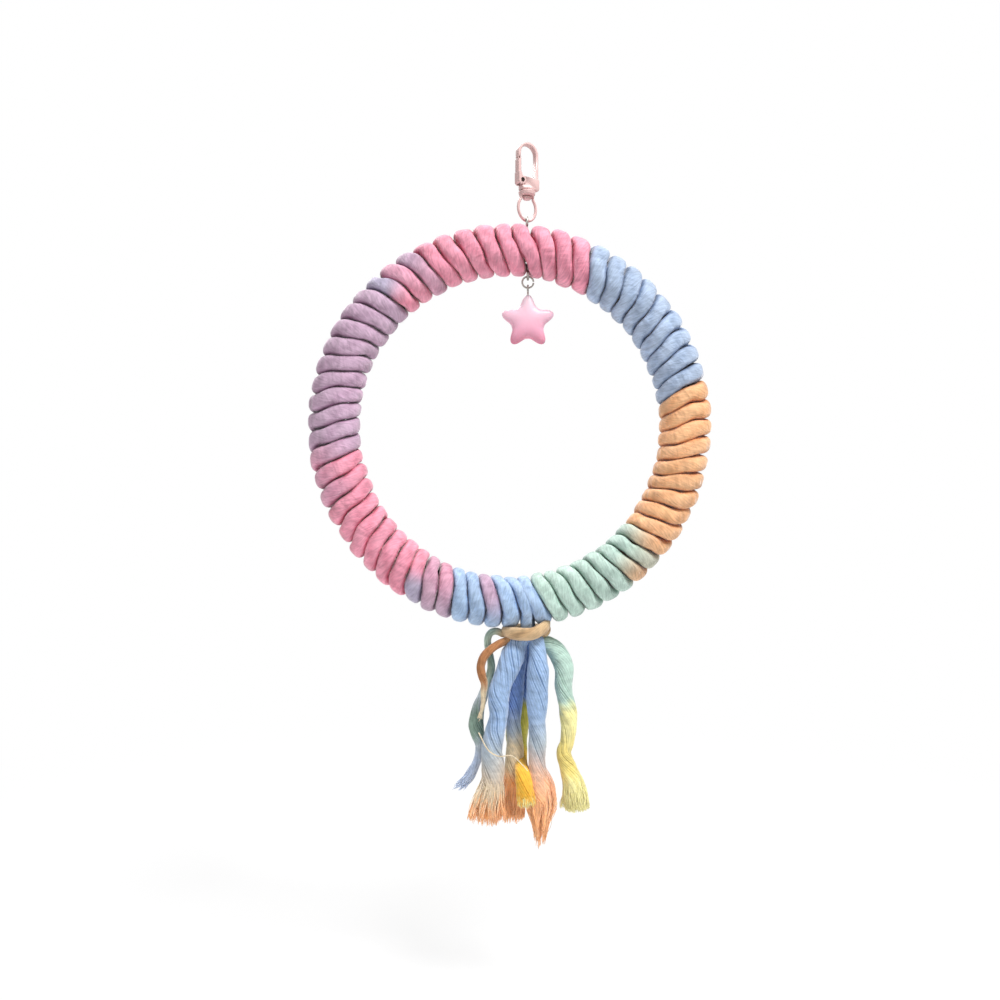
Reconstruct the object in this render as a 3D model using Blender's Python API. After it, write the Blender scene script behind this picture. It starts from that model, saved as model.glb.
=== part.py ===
"""Hanging rope perch for small birds: a cane hoop wound with dyed cotton rope, hung from a
swivel snap clasp, with a puffy star on a jump ring inside the hoop and a rope tassel below it.

Metres, +Z up.  The origin is the inside of the clasp's crown, where a bar carries the perch.
The hoop lies in the XZ plane, and the side with the rivet heads and the star's face looks to -Y.
Each solid is one physical piece.  Neighbours keep a small gap, because they are separate bodies.
"""
import math

import bmesh
import bpy
import numpy as np
from mathutils import Vector

MM = 0.001

# Driving dimensions, in metres unless the name says otherwise

SEAT_GAP = 0.30 * MM            # between pieces that rest on each other
FIT_GAP = 0.15 * MM             # round a pin in its hole

# Snap clasp, in its own frame: x across the hook, y through it, z up
CLASP_YAW = math.radians(32)    # how far the clasp is turned on its swivel
HOOK_WIDTH = 12.0 * MM          # outside width of the hook
HOOK_BAR = 1.6 * MM             # thickness of the hook's bar, seen from the front
HOOK_DEPTH = 3.0 * MM
HOOK_EDGE = 0.45 * MM           # rounding of the bar's edges
HOOK_LENGTH = 16.0 * MM         # from the crown's inside to the top of the block
NOSE_LENGTH = 1.9 * MM          # straight end of the hook beyond its round crown
NOSE_LAP = 0.9 * MM             # how far the nose's lip covers the gate's tip
BLOCK_WIDTH = 12.4 * MM
BLOCK_DEPTH = 4.4 * MM
BLOCK_HEIGHT = 6.4 * MM
BLOCK_EDGE = 0.5 * MM
BLOCK_CORNER = 1.3 * MM         # corner radius of the block's right-hand end
GATE_WALL = 0.7 * MM            # sheet thickness of the gate's web
GATE_EDGE = 0.25 * MM
GATE_FOOT = 1.0 * MM            # chamfer at the foot of the gate's outer face
GATE_NECK = 1.9 * MM            # sloping shoulder between the cheeks and the bar
TONGUE_DEPTH = 2.0 * MM         # the block's tongue, which the gate's cheeks straddle
BOSS_RADIUS = 2.2 * MM          # round ends of the cheeks
PIVOT_INSET = 2.1 * MM          # rivet axis, in from the gate's outer face
PIVOT_DROP = 2.0 * MM           # rivet axis, below the top of the block
RIVET_RADIUS = 0.62 * MM
RIVET_HEAD_RADIUS = 1.0 * MM
RIVET_HEAD_HEIGHT = 0.35 * MM
SPRING_WIRE = 0.30 * MM         # diameter
SPRING_SLOT = 1.1 * MM          # width of the slot that the spring lies in
SPRING_TURNS = 1.25
SPRING_PITCH = 0.42 * MM
SPRING_LEG = 2.2 * MM

# Swivel
COLLAR_TOP_RADIUS = 4.3 * MM
COLLAR_BOTTOM_RADIUS = 4.0 * MM
COLLAR_HEIGHT = 2.5 * MM
STUD_RADIUS = 1.3 * MM
STUD_HEAD_RADIUS = 2.2 * MM
STUD_HEAD_HEIGHT = 1.4 * MM
STUD_DEPTH = 3.0 * MM           # how far the stud reaches into the block
EYE_WIRE = 1.5 * MM             # diameter
EYE_HALF_WIDTH = 5.2 * MM       # to the middle of the wire
EYE_HEIGHT = 13.0 * MM          # from the collar's underside to the bottom of the eye
EYE_ARC = math.radians(135)     # each side's arc, from the bottom up to its shoulder
EYE_SHOULDER = 1.6 * MM         # height of the straight shoulder under the collar

# Hoop and its winding
HOOP_DROP = 1.6 * MM            # from the bottom of the swivel's eye down to the winding
HOOP_OFFSET = 8.7 * MM          # the hoop's middle lies this far to the left of the clasp
HOOP_RADIUS = 87.0 * MM         # to the middle of the cane
CANE_DIAMETER = 9.2 * MM
CANE_STEPS, CANE_SIDES = 72, 10  # facets round the hoop and round the cane
WOUND_RADIUS = 13.3 * MM        # mean radius of the wound section
TURNS = 65                      # whole turns of rope round the hoop
POINTS_PER_TURN = 10
TURN_GAP = 0.50 * MM            # between neighbouring turns
FRONT_LEAN = 0.42               # extra share of a pitch that a turn advances over its front half
SPREAD = 4.8 * MM               # extra advance of the one turn that crosses in front of the screw eyes
START_ANGLE = math.radians(175.0)   # where the winding starts, clockwise from the top
END_TANGENT = math.radians(62)  # how far round the cane the rope's ends leave it
END_LENGTH = 13.5 * MM          # straight run of each end, down into the tassel's neck
END_RUNS = (0.35, 0.7, 1.0)     # where its points lie, as shares of that run
END_WAYS = ((0.10, 0.36, -0.93), (0.15, -0.35, -0.92))     # directions of those runs
NECK_RADIUS = 2.2 * MM          # of a rope squeezed in the tassel's neck

# Screw eyes, jump ring and star
SCREW_WIRE = 1.2 * MM           # diameter
LOOP_START, LOOP_END = -52, 232 # degrees round a wire loop, from its shank to its cut end
TOP_LOOP_BORE = 4.0 * MM
BOTTOM_LOOP_BORE = 3.4 * MM
SCREW_DEPTH = 3.4 * MM          # of each screw in the cane
BOTTOM_EYE_DROP = 1.9 * MM      # how far the bottom loop stands out of the winding
JUMP_WIRE = 0.9 * MM
JUMP_DIAMETER = 6.5 * MM        # outside
JUMP_SPLIT = math.radians(6)
STAR_WIRE = 0.9 * MM
STAR_LOOP_BORE = 2.4 * MM
STAR_SCREW_DEPTH = 3.2 * MM
STAR_TIP_RADIUS = 13.5 * MM
STAR_WAIST_RADIUS = 7.9 * MM
STAR_THICKNESS = 7.0 * MM
STAR_SINK = 1.5 * MM            # the star's tip, below the bottom of its loop
STAR_SHARPNESS = 1.65           # over 1 narrows the points
STAR_DOME = 2.4                 # over 2 flattens the faces and rounds the rim
STAR_STEPS, STAR_RINGS = 50, 6  # facets round the star and from its middle to its rim

# Tassel
BAND_DIAMETER = 6.0 * MM
NECK_LENGTH = 6.5 * MM          # of a tail's thin top, inside the band
SWELL_LENGTH = 14.0 * MM        # over which a tail then swells to its full size
TAIL_STEPS = 9
BAND_STEPS = 17

# Sizes that follow from those above

BLOCK_TOP = -HOOK_LENGTH
BLOCK_BOTTOM = BLOCK_TOP - BLOCK_HEIGHT
HOOK_INSIDE = HOOK_WIDTH / 2 - HOOK_BAR
PIVOT_X = -HOOK_WIDTH / 2 + PIVOT_INSET
PIVOT_Z = BLOCK_TOP - PIVOT_DROP
SLOT_DEPTH = TONGUE_DEPTH + 2 * SEAT_GAP
GATE_DEPTH = BLOCK_DEPTH
NOSE_BOTTOM = -HOOK_INSIDE - NOSE_LENGTH
COLLAR_TOP = BLOCK_BOTTOM - SEAT_GAP
COLLAR_BOTTOM = COLLAR_TOP - COLLAR_HEIGHT
EYE_BOTTOM = COLLAR_BOTTOM - EYE_HEIGHT
EYE_WIRE_Z = EYE_BOTTOM + EYE_WIRE / 2
TOP_LOOP_Z = EYE_WIRE_Z + EYE_WIRE / 2 + SEAT_GAP - TOP_LOOP_BORE / 2
HOOP_Z = EYE_BOTTOM - HOOP_DROP - (HOOP_RADIUS + WOUND_RADIUS)
WINDING_FOOT = HOOP_Z - HOOP_RADIUS - WOUND_RADIUS
CANE_RADIUS = CANE_DIAMETER / 2
ROPE_MIDDLE = (WOUND_RADIUS + CANE_RADIUS) / 2      # from the cane's middle to the rope's
PITCH_ANGLE = (2 * math.pi - SPREAD / HOOP_RADIUS) / TURNS
EYE_ROOM = 2 * SEAT_GAP + SCREW_WIRE / 2            # between a screw eye's axis and a turn of rope


def hoop_point(angle, out=0.0, y=0.0):
    """A point near the hoop: angle clockwise from the top, out from the middle of the cane, y back."""
    reach = HOOP_RADIUS + out
    return Vector((-HOOP_OFFSET + reach * math.sin(angle), y, HOOP_Z + reach * math.cos(angle)))


def clear_scene():
    for obj in list(bpy.data.objects):
        bpy.data.objects.remove(obj, do_unlink=True)


def material(name, colour, roughness, metallic=0.0):
    """A Principled material; the colour is linear RGB."""
    mat = bpy.data.materials.new(name)
    mat.use_nodes = True
    shader = mat.node_tree.nodes["Principled BSDF"]
    shader.inputs["Base Color"].default_value = (*colour, 1.0)
    shader.inputs["Roughness"].default_value = roughness
    shader.inputs["Metallic"].default_value = metallic
    return mat


def add_object(name, data, mat, parent=None, origin=(0, 0, 0)):
    """Links a node whose data is given round origin, a point in the parent's frame."""
    obj = bpy.data.objects.new(name, data)
    if mat is not None:
        data.materials.append(mat)
    obj.location = origin
    obj.parent = parent
    bpy.context.scene.collection.objects.link(obj)
    return obj


def frame_empty(name, location=(0, 0, 0), yaw=0.0, parent=None):
    empty = bpy.data.objects.new(name, None)
    empty.location = location
    empty.rotation_euler = (0, 0, yaw)
    empty.parent = parent
    bpy.context.scene.collection.objects.link(empty)
    return empty


def to_mesh(name, bm, origin=(0, 0, 0), smooth_angle=40):
    """A mesh from bm, moved so that origin becomes its own zero."""
    bmesh.ops.translate(bm, verts=bm.verts, vec=-Vector(origin))
    bmesh.ops.recalc_face_normals(bm, faces=bm.faces)
    mesh = bpy.data.meshes.new(name)
    bm.to_mesh(mesh)
    bm.free()
    mesh.shade_smooth()
    mesh.set_sharp_from_angle(angle=math.radians(smooth_angle))
    return mesh


def arc(centre, radius, start, end, steps):
    """Points on an arc in the xz plane, from start to end in degrees."""
    angles = np.radians(np.linspace(start, end, steps + 1))
    return [(centre[0] + radius * math.cos(a), centre[1] + radius * math.sin(a)) for a in angles]


def prism(outline, depth, edge=0.0, segments=2):
    """An xz outline extruded evenly about y = 0, with its front and back rims rounded by edge."""
    bm = bmesh.new()
    face = bm.faces.new([bm.verts.new((x, -depth / 2, z)) for x, z in outline])
    grown = bmesh.ops.extrude_face_region(bm, geom=[face])
    moved = [v for v in grown["geom"] if isinstance(v, bmesh.types.BMVert)]
    bmesh.ops.translate(bm, verts=moved, vec=(0, depth, 0))
    if edge:
        rims = [e for e in bm.edges if abs(e.verts[0].co.y - e.verts[1].co.y) < depth / 4]
        bmesh.ops.bevel(bm, geom=rims, offset=edge, segments=segments, profile=0.5, affect="EDGES")
    return bm


def turned(profile, sides=24):
    """A closed (radius, z) profile spun about z; points at radius zero lie on the axis."""
    bm = bmesh.new()
    verts = [bm.verts.new((r, 0, z)) for r, z in profile]
    edges = [bm.edges.new(pair) for pair in zip(verts, verts[1:])]
    if profile[0][0] > 0:
        edges.append(bm.edges.new((verts[-1], verts[0])))
    bmesh.ops.spin(bm, geom=verts + edges, axis=(0, 0, 1), cent=(0, 0, 0), steps=sides,
                   angle=2 * math.pi, use_merge=True)
    bmesh.ops.remove_doubles(bm, verts=bm.verts, dist=1e-7)
    return bm


def turned_across(profile, x, z, sides=24):
    """The same, spun about the y line through (x, z)."""
    bm = turned(profile, sides)
    for v in bm.verts:
        v.co = (v.co.x + x, v.co.z, z - v.co.y)
    return bm


def box(low, high):
    bm = bmesh.new()
    bmesh.ops.create_cube(bm, size=1.0)
    for v in bm.verts:
        v.co = [(lo + hi) / 2 + c * (hi - lo) for c, lo, hi in zip(v.co, low, high)]
    return bm


def boolean(target, bm, operation="DIFFERENCE", solver="EXACT"):
    """Cuts bm out of target, or joins it on, with a hidden helper in the target's own frame."""
    name = f"{target.name}.helper{len(target.modifiers)}"
    helper = add_object(name, to_mesh(name, bm, target.location), None, target.parent, target.location)
    helper.hide_render = True
    helper.display_type = "WIRE"
    cut = target.modifiers.new(operation.title(), "BOOLEAN")
    cut.object = helper
    cut.operation = operation
    cut.solver = solver


def tube_curve(name, points, radius, sides=8, shares=None):
    """A POLY curve with a round bevel; shares scale the radius point by point."""
    curve = bpy.data.curves.new(name, "CURVE")
    curve.dimensions = "3D"
    curve.bevel_depth = radius
    curve.bevel_resolution = sides // 2 - 2
    curve.use_fill_caps = True
    spline = curve.splines.new("POLY")
    spline.points.add(len(points) - 1)
    for i, (point, place) in enumerate(zip(spline.points, points)):
        point.co = (*place, 1.0)
        point.radius = 1.0 if shares is None else shares[i]
    return curve


def tube_bmesh(points, radius, sides=8):
    """The same tube as a bmesh, for joining to other shapes."""
    obj = bpy.data.objects.new("tube", tube_curve("tube", points, radius, sides))
    bm = bmesh.new()
    mesh = bpy.data.meshes.new_from_object(obj)
    bm.from_mesh(mesh)
    bmesh.ops.remove_doubles(bm, verts=bm.verts, dist=1e-7)
    bpy.data.objects.remove(obj)
    return bm


def smooth_route(route, count):
    """count points evenly spaced by length on a Catmull-Rom curve through the route's points."""
    p = np.array([route[0], *route, route[-1]], float)
    p[0] = 2 * p[1] - p[2]
    p[-1] = 2 * p[-2] - p[-3]
    s = np.linspace(0, 1, 24, endpoint=False)[:, None]
    pieces = []
    for a, b, c, d in zip(p, p[1:], p[2:], p[3:]):
        pieces.append(0.5 * (2 * b + (c - a) * s + (2 * a - 5 * b + 4 * c - d) * s ** 2
                             + (3 * b - a - 3 * c + d) * s ** 3))
    dense = np.vstack([*pieces, p[-2:-1]])
    along = np.concatenate([[0], np.cumsum(np.linalg.norm(np.diff(dense, axis=0), axis=1))])
    wanted = np.linspace(0, along[-1], count)
    return np.stack([np.interp(wanted, along, dense[:, k]) for k in range(3)], axis=1), wanted


# Snap clasp

def hook_outline():
    """The bar of the hook: right leg, round crown and a short nose with a lip outside the gate."""
    half, inside, root = HOOK_WIDTH / 2, HOOK_INSIDE, BLOCK_TOP - BLOCK_EDGE
    middle = (0, -HOOK_INSIDE)
    lip = -half + HOOK_BAR / 2 - SEAT_GAP / 2
    return [(half, root), *arc(middle, half, 0, 180, 18), (-half, NOSE_BOTTOM - NOSE_LAP),
            (lip, NOSE_BOTTOM - NOSE_LAP), (lip, NOSE_BOTTOM), (-inside, NOSE_BOTTOM),
            *arc(middle, inside, 180, 0, 16), (inside, root)]


def block_outline():
    """The base block: a round end about the rivet on the left, round corners on the right."""
    right, low, top = BLOCK_WIDTH / 2, BLOCK_BOTTOM, BLOCK_TOP
    end = PIVOT_INSET - GATE_WALL - SEAT_GAP
    corner = BLOCK_CORNER
    return [(PIVOT_X, top), *arc((right - corner, top - corner), corner, 90, 0, 4),
            *arc((right - corner, low + corner), corner, 0, -90, 4), (PIVOT_X, low),
            *arc((PIVOT_X, PIVOT_Z), end, 270, 90, 8)]


def gate_outline():
    """The gate: a straight bar from the nose down to cheeks with round ends about the rivet."""
    outer, inner = -HOOK_WIDTH / 2, -HOOK_INSIDE
    tip = NOSE_BOTTOM - SEAT_GAP
    rebate = outer + HOOK_BAR / 2 + SEAT_GAP / 2
    foot = PIVOT_Z - BOSS_RADIUS
    return [(rebate, tip), (inner, tip), (inner, PIVOT_Z + BOSS_RADIUS + GATE_NECK),
            *arc((PIVOT_X, PIVOT_Z), BOSS_RADIUS, 90, -90, 10), (outer + GATE_FOOT, foot),
            (outer, foot + GATE_FOOT), (outer, tip - NOSE_LAP), (rebate, tip - NOSE_LAP)]


def pin_profile(radius, low, high):
    return [(0, low), (radius, low), (radius, high), (0, high)]


def rivet_profile():
    """A tubular rivet: a plain shank with a low dished head at each end."""
    end = GATE_DEPTH / 2 + FIT_GAP
    r, head, h = RIVET_RADIUS, RIVET_HEAD_RADIUS, RIVET_HEAD_HEIGHT
    half = [(r, end), (head, end), (head, end + h / 2), (head - h / 2, end + h), (r * 0.8, end + h),
            (r * 0.5, end + h / 3), (0, end + h / 3)]
    return [(radius, -z) for radius, z in reversed(half)] + half


def spring_points():
    """A torsion spring round the rivet, one leg up behind the gate's web and one into the block."""
    coil = RIVET_RADIUS + FIT_GAP + SPRING_WIRE / 2 + FIT_GAP / 2
    turns = np.linspace(0, SPRING_TURNS, round(SPRING_TURNS * POINTS_PER_TURN) + 1)
    points = [(PIVOT_X - coil * math.cos(2 * math.pi * t), (t - SPRING_TURNS / 2) * SPRING_PITCH,
               PIVOT_Z - coil * math.sin(2 * math.pi * t)) for t in turns]
    (x, y, z), (end_x, end_y, end_z) = points[0], points[-1]
    return [(x, y, z + SPRING_LEG), *points, (end_x + SPRING_LEG, end_y, end_z)]


def carve(target, bm, operation="DIFFERENCE"):
    """A cut or a join in the clasp, whose thin walls need the solver for closed meshes."""
    boolean(target, bm, operation, "MANIFOLD")


def build_clasp(clasp, enamel, steel):
    hook = add_object("hook_body", to_mesh("hook_body", prism(hook_outline(), HOOK_DEPTH, HOOK_EDGE)),
                      enamel, clasp)
    carve(hook, prism(block_outline(), BLOCK_DEPTH, BLOCK_EDGE), "UNION")
    reach = 2 * BLOCK_DEPTH
    for side in (-1, 1):
        seat = sorted((side * TONGUE_DEPTH / 2, side * reach))
        carve(hook, turned_across(pin_profile(BOSS_RADIUS + SEAT_GAP, *seat), PIVOT_X, PIVOT_Z, 32))
    slot = SPRING_SLOT / 2
    coil_room = RIVET_RADIUS + FIT_GAP + SPRING_WIRE + 3 * FIT_GAP
    carve(hook, turned_across(pin_profile(coil_room, -slot, slot), PIVOT_X, PIVOT_Z, 16))
    leg_end = PIVOT_X + SPRING_LEG + 2 * FIT_GAP
    carve(hook, box((PIVOT_X, -slot, PIVOT_Z - coil_room), (leg_end, slot, PIVOT_Z - RIVET_RADIUS)))
    bore = pin_profile(RIVET_RADIUS + FIT_GAP, -reach, reach)
    carve(hook, turned_across(bore, PIVOT_X, PIVOT_Z))
    carve(hook, turned(pin_profile(STUD_RADIUS + FIT_GAP, BLOCK_BOTTOM - STUD_DEPTH,
                                     BLOCK_BOTTOM + STUD_DEPTH + FIT_GAP)))

    pivot = (PIVOT_X, 0, PIVOT_Z)
    gate = add_object("gate", to_mesh("gate", prism(gate_outline(), GATE_DEPTH, GATE_EDGE), pivot),
                      enamel, clasp, pivot)
    neck = PIVOT_Z + BOSS_RADIUS + HOOK_BAR
    for side in (-1, 1):
        flank = sorted((side * HOOK_DEPTH / 2, side * reach))
        carve(gate, box((-HOOK_WIDTH, flank[0], neck), (0, flank[1], 0)))
    carve(gate, box((-HOOK_WIDTH / 2 + GATE_WALL, -SLOT_DEPTH / 2, BLOCK_BOTTOM),
                      (0, SLOT_DEPTH / 2, neck + HOOK_BAR)))
    carve(gate, turned_across(bore, PIVOT_X, PIVOT_Z))

    add_object("gate_rivet", to_mesh("gate_rivet", turned_across(rivet_profile(), PIVOT_X, PIVOT_Z, 20)),
               steel, clasp)
    add_object("gate_spring", tube_curve("gate_spring", spring_points(), SPRING_WIRE / 2, 6), steel, clasp)


def build_swivel(clasp, enamel):
    r, head, edge = STUD_RADIUS, STUD_HEAD_RADIUS, STUD_HEAD_HEIGHT / 3
    head_top = COLLAR_BOTTOM - SEAT_GAP
    head_low = head_top - STUD_HEAD_HEIGHT
    stud = [(0, BLOCK_BOTTOM + STUD_DEPTH), (r, BLOCK_BOTTOM + STUD_DEPTH), (r, head_top),
            (head, head_top), (head, head_low + edge), (head - edge, head_low), (0, head_low)]
    add_object("swivel_stud", to_mesh("swivel_stud", turned(stud)), enamel, clasp)

    bore, edge = STUD_RADIUS + SEAT_GAP, COLLAR_HEIGHT / 5
    top, low = COLLAR_TOP_RADIUS, COLLAR_BOTTOM_RADIUS
    collar = [(bore, COLLAR_TOP), (top - edge, COLLAR_TOP), (top, COLLAR_TOP - edge),
              (low, COLLAR_BOTTOM + edge), (low - edge, COLLAR_BOTTOM), (bore, COLLAR_BOTTOM)]
    eye = add_object("swivel_eye", to_mesh("swivel_eye", turned(collar, 28)), enamel, clasp)
    shoulder = COLLAR_BOTTOM_RADIUS - EYE_WIRE / 2
    tall = (EYE_HEIGHT - EYE_WIRE / 2 - EYE_SHOULDER) / (1 - math.cos(EYE_ARC))
    middle = EYE_WIRE_Z + tall
    sweep = np.linspace(-EYE_ARC, EYE_ARC, 25)
    ring = [(EYE_HALF_WIDTH * math.sin(a), 0, middle - tall * math.cos(a)) for a in sweep]
    bury = COLLAR_BOTTOM + COLLAR_HEIGHT / 2
    points = [(-shoulder, 0, bury), *ring, (shoulder, 0, bury)]
    carve(eye, tube_bmesh(points, EYE_WIRE / 2, 10), "UNION")


# Hoop, rope and screw eyes

def rope_radius(turns):
    """The rope is squeezed on the hoop's inside, where the turns crowd, and full on its outside."""
    around = 2 * math.pi * turns
    slope = 1 + FRONT_LEAN * math.pi * np.sin(around)
    pitch = PITCH_ANGLE * (HOOP_RADIUS + ROPE_MIDDLE * np.cos(around))
    tilt = np.arctan2(pitch * slope, 2 * math.pi * ROPE_MIDDLE)
    return (pitch * np.cos(tilt) - TURN_GAP) / 2


def eye_angles():
    """The crossing turn's angle on the hoop's outside, and the angles of the two screw eyes.

    The top eye stands at x = 0, close to the right of that turn.  The turn then crosses over the
    front, and the bottom eye stands close to the left of it, on the hoop's inside.
    """
    top = math.asin(HOOP_OFFSET / (HOOP_RADIUS + ROPE_MIDDLE))
    crossing = top - (rope_radius(0.0) + EYE_ROOM) / (HOOP_RADIUS + ROPE_MIDDLE)
    inside = crossing + PITCH_ANGLE * (0.5 + FRONT_LEAN) + SPREAD / HOOP_RADIUS
    bottom = inside - (rope_radius(0.5) + EYE_ROOM) / (HOOP_RADIUS - ROPE_MIDDLE)
    return crossing, top, bottom


def winding_angle(turns):
    """The hoop angle of the rope after so many turns; whole turns lie on the hoop's outside."""
    crossing = 2 * math.pi + eye_angles()[0]
    crossing_turn = round((crossing - START_ANGLE) / PITCH_ANGLE)
    lean = FRONT_LEAN * (1 - np.cos(2 * math.pi * turns)) / 2
    step = np.clip(2 * (turns - crossing_turn), 0, 1)
    step = step * step * (3 - 2 * step)
    return crossing + PITCH_ANGLE * (turns - crossing_turn + lean) + step * SPREAD / HOOP_RADIUS


def rope_centre(turns):
    """Centreline points and radii of the rope at the given turn counts."""
    around = 2 * math.pi * turns
    radius = rope_radius(turns)
    out = (CANE_RADIUS + SEAT_GAP + radius) / math.cos(math.pi / POINTS_PER_TURN)
    angle = winding_angle(turns)
    points = [hoop_point(a, o * math.cos(f), -o * math.sin(f)) for a, o, f in zip(angle, out, around)]
    return np.array(points), radius


def least_gap(points, radius):
    """The least gap between stretches of the rope that are half a turn or more apart along it."""
    share = np.linspace(0, 1, 4, endpoint=False)[:, None]
    fine = np.vstack([a + (b - a) * share for a, b in zip(points, points[1:])])
    wide = np.concatenate([a + (b - a) * share[:, 0] for a, b in zip(radius, radius[1:])])
    apart, least = 4 * POINTS_PER_TURN // 2, math.inf
    for i in range(len(fine) - apart):
        room = np.linalg.norm(fine[i + apart:] - fine[i], axis=1) - wide[i + apart:] - wide[i]
        least = min(least, room.min())
    return least


def rope_path():
    """The whole rope: a straight end, the turns round the cane, and the other straight end."""
    first = END_TANGENT / (2 * math.pi)
    last = TURNS - first
    count = round((last - first) * POINTS_PER_TURN)
    points, radius = rope_centre(np.linspace(first, last, count + 1))
    ways = [np.array(Vector(way).normalized()) * END_LENGTH for way in END_WAYS]
    head = [points[0] + ways[0] * run for run in END_RUNS[::-1]]
    tail = [points[-1] + ways[1] * run for run in END_RUNS]
    thin = radius[0] + (NECK_RADIUS - radius[0]) * np.array([0.5, 1.0, 1.0])
    return np.vstack([head, points, tail]), np.concatenate([thin[::-1], radius, thin])


def screw_eye_points(x, loop_z, bore, wire, tip_z):
    """A wire screw eye with its loop in the plane x: a straight shank, then a loop that nearly closes."""
    reach = (bore + wire) / 2
    up = 1 if loop_z > tip_z else -1
    neck = loop_z - up * (reach + wire)
    loop = [(x, reach * math.cos(a), loop_z + up * reach * math.sin(a))
            for a in np.radians(np.linspace(LOOP_START, LOOP_END, 17))]
    return [(x, 0, tip_z), (x, 0, (tip_z + neck) / 2), (x, 0, neck)] + loop


def build_hoop(perch, cane, cotton, steel):
    middle = hoop_point(0, -HOOP_RADIUS)
    around = np.linspace(0, 2 * math.pi, CANE_SIDES, endpoint=False)
    bm = bmesh.new()
    section = [(CANE_RADIUS * math.cos(f), CANE_RADIUS * math.sin(f)) for f in around]
    loops = [[bm.verts.new(hoop_point(a, out, y)) for out, y in section]
             for a in np.linspace(0, 2 * math.pi, CANE_STEPS, endpoint=False)]
    for here, there in zip(loops, loops[1:] + loops[:1]):
        for k in range(CANE_SIDES):
            bm.faces.new((here[k - 1], here[k], there[k], there[k - 1]))
    hoop = add_object("core_hoop", to_mesh("core_hoop", bm, middle, 60), cane, perch, middle - perch.location)

    eyes = screw_eyes()
    for name, (x, loop_z, bore, tip_z) in eyes.items():
        hole_end = tip_z - math.copysign(FIT_GAP, loop_z - tip_z)
        hole = turned(pin_profile(SCREW_WIRE / 2 + FIT_GAP, *sorted((hole_end, loop_z))), 12)
        bmesh.ops.translate(hole, verts=hole.verts, vec=Vector((x, 0, 0)) - perch.location)
        boolean(hoop, hole)
        points = screw_eye_points(x, loop_z, bore, SCREW_WIRE, tip_z)
        points = [Vector(p) - perch.location for p in points]
        add_object(name, tube_curve(name, points, SCREW_WIRE / 2, 8), steel, perch)

    points, radius = rope_path()
    print(f"rope_wrap: least gap to itself {least_gap(points, radius) / MM:.2f} mm")
    widest = radius.max()
    rope = tube_curve("rope_wrap", [Vector(p) - perch.location for p in points], widest, 6, radius / widest)
    add_object("rope_wrap", rope, cotton, perch)


def bottom_eye_x():
    return hoop_point(eye_angles()[2], -ROPE_MIDDLE).x


def bottom_loop_z():
    """The bottom loop stands a little way out of the winding's inner side."""
    winding = hoop_point(eye_angles()[2], -CANE_RADIUS - SEAT_GAP - 2 * rope_radius(0.5)).z
    return winding - BOTTOM_EYE_DROP + BOTTOM_LOOP_BORE / 2 + SCREW_WIRE


def screw_eyes():
    """Each screw eye's x, the height of its loop's middle, its bore, and the height of its tip."""
    low_x = bottom_eye_x()
    top_cane, low_cane = [HOOP_Z + math.sqrt(HOOP_RADIUS ** 2 - (x + HOOP_OFFSET) ** 2) for x in (0, low_x)]
    grip = CANE_RADIUS - SCREW_DEPTH
    return {"top_screw_eye": (0.0, TOP_LOOP_Z, TOP_LOOP_BORE, top_cane + grip),
            "bottom_screw_eye": (low_x, bottom_loop_z(), BOTTOM_LOOP_BORE, low_cane - grip)}


# Star and its links

def link_heights():
    """Middle of the jump ring, and of the star's loop, each hanging on the wire above it."""
    low_wire = bottom_loop_z() - BOTTOM_LOOP_BORE / 2 - SCREW_WIRE / 2
    jump_top = low_wire + SCREW_WIRE / 2 + SEAT_GAP + JUMP_WIRE
    jump_z = jump_top - JUMP_DIAMETER / 2
    jump_low = jump_top - JUMP_DIAMETER + JUMP_WIRE / 2
    loop_z = jump_low + JUMP_WIRE / 2 + SEAT_GAP - STAR_LOOP_BORE / 2
    return low_wire, jump_z, jump_low, loop_z


def star_bmesh(tip_z):
    """A puffy five-pointed star: one rounded outline, drawn in and raised towards the middle."""
    bm = bmesh.new()
    middle = Vector((bottom_eye_x(), 0, tip_z - STAR_TIP_RADIUS))
    angles = np.linspace(0, 2 * math.pi, STAR_STEPS, endpoint=False)

    def reach(angle):
        swell = (1 + math.cos(5 * angle)) / 2
        return STAR_WAIST_RADIUS + (STAR_TIP_RADIUS - STAR_WAIST_RADIUS) * swell ** STAR_SHARPNESS

    def layer(share, side):
        rise = side * STAR_THICKNESS / 2 * math.sqrt(1 - share ** STAR_DOME)
        return [bm.verts.new(middle + Vector((math.sin(a), 0, math.cos(a))) * share * reach(a)
                             - Vector((0, rise, 0))) for a in angles]

    shares = np.sin(np.linspace(0, math.pi / 2, STAR_RINGS + 1))[1:]
    rim = layer(1.0, 1)
    for side in (1, -1):
        loops = [layer(s, side) for s in shares[:-1]] + [rim]
        for inner, outer in zip(loops, loops[1:]):
            for k in range(STAR_STEPS):
                bm.faces.new((inner[k - 1], inner[k], outer[k], outer[k - 1]))
        centre = bm.verts.new(middle + Vector((0, -side * STAR_THICKNESS / 2, 0)))
        for k in range(STAR_STEPS):
            bm.faces.new((centre, loops[0][k], loops[0][k - 1]))
    return bm


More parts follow.
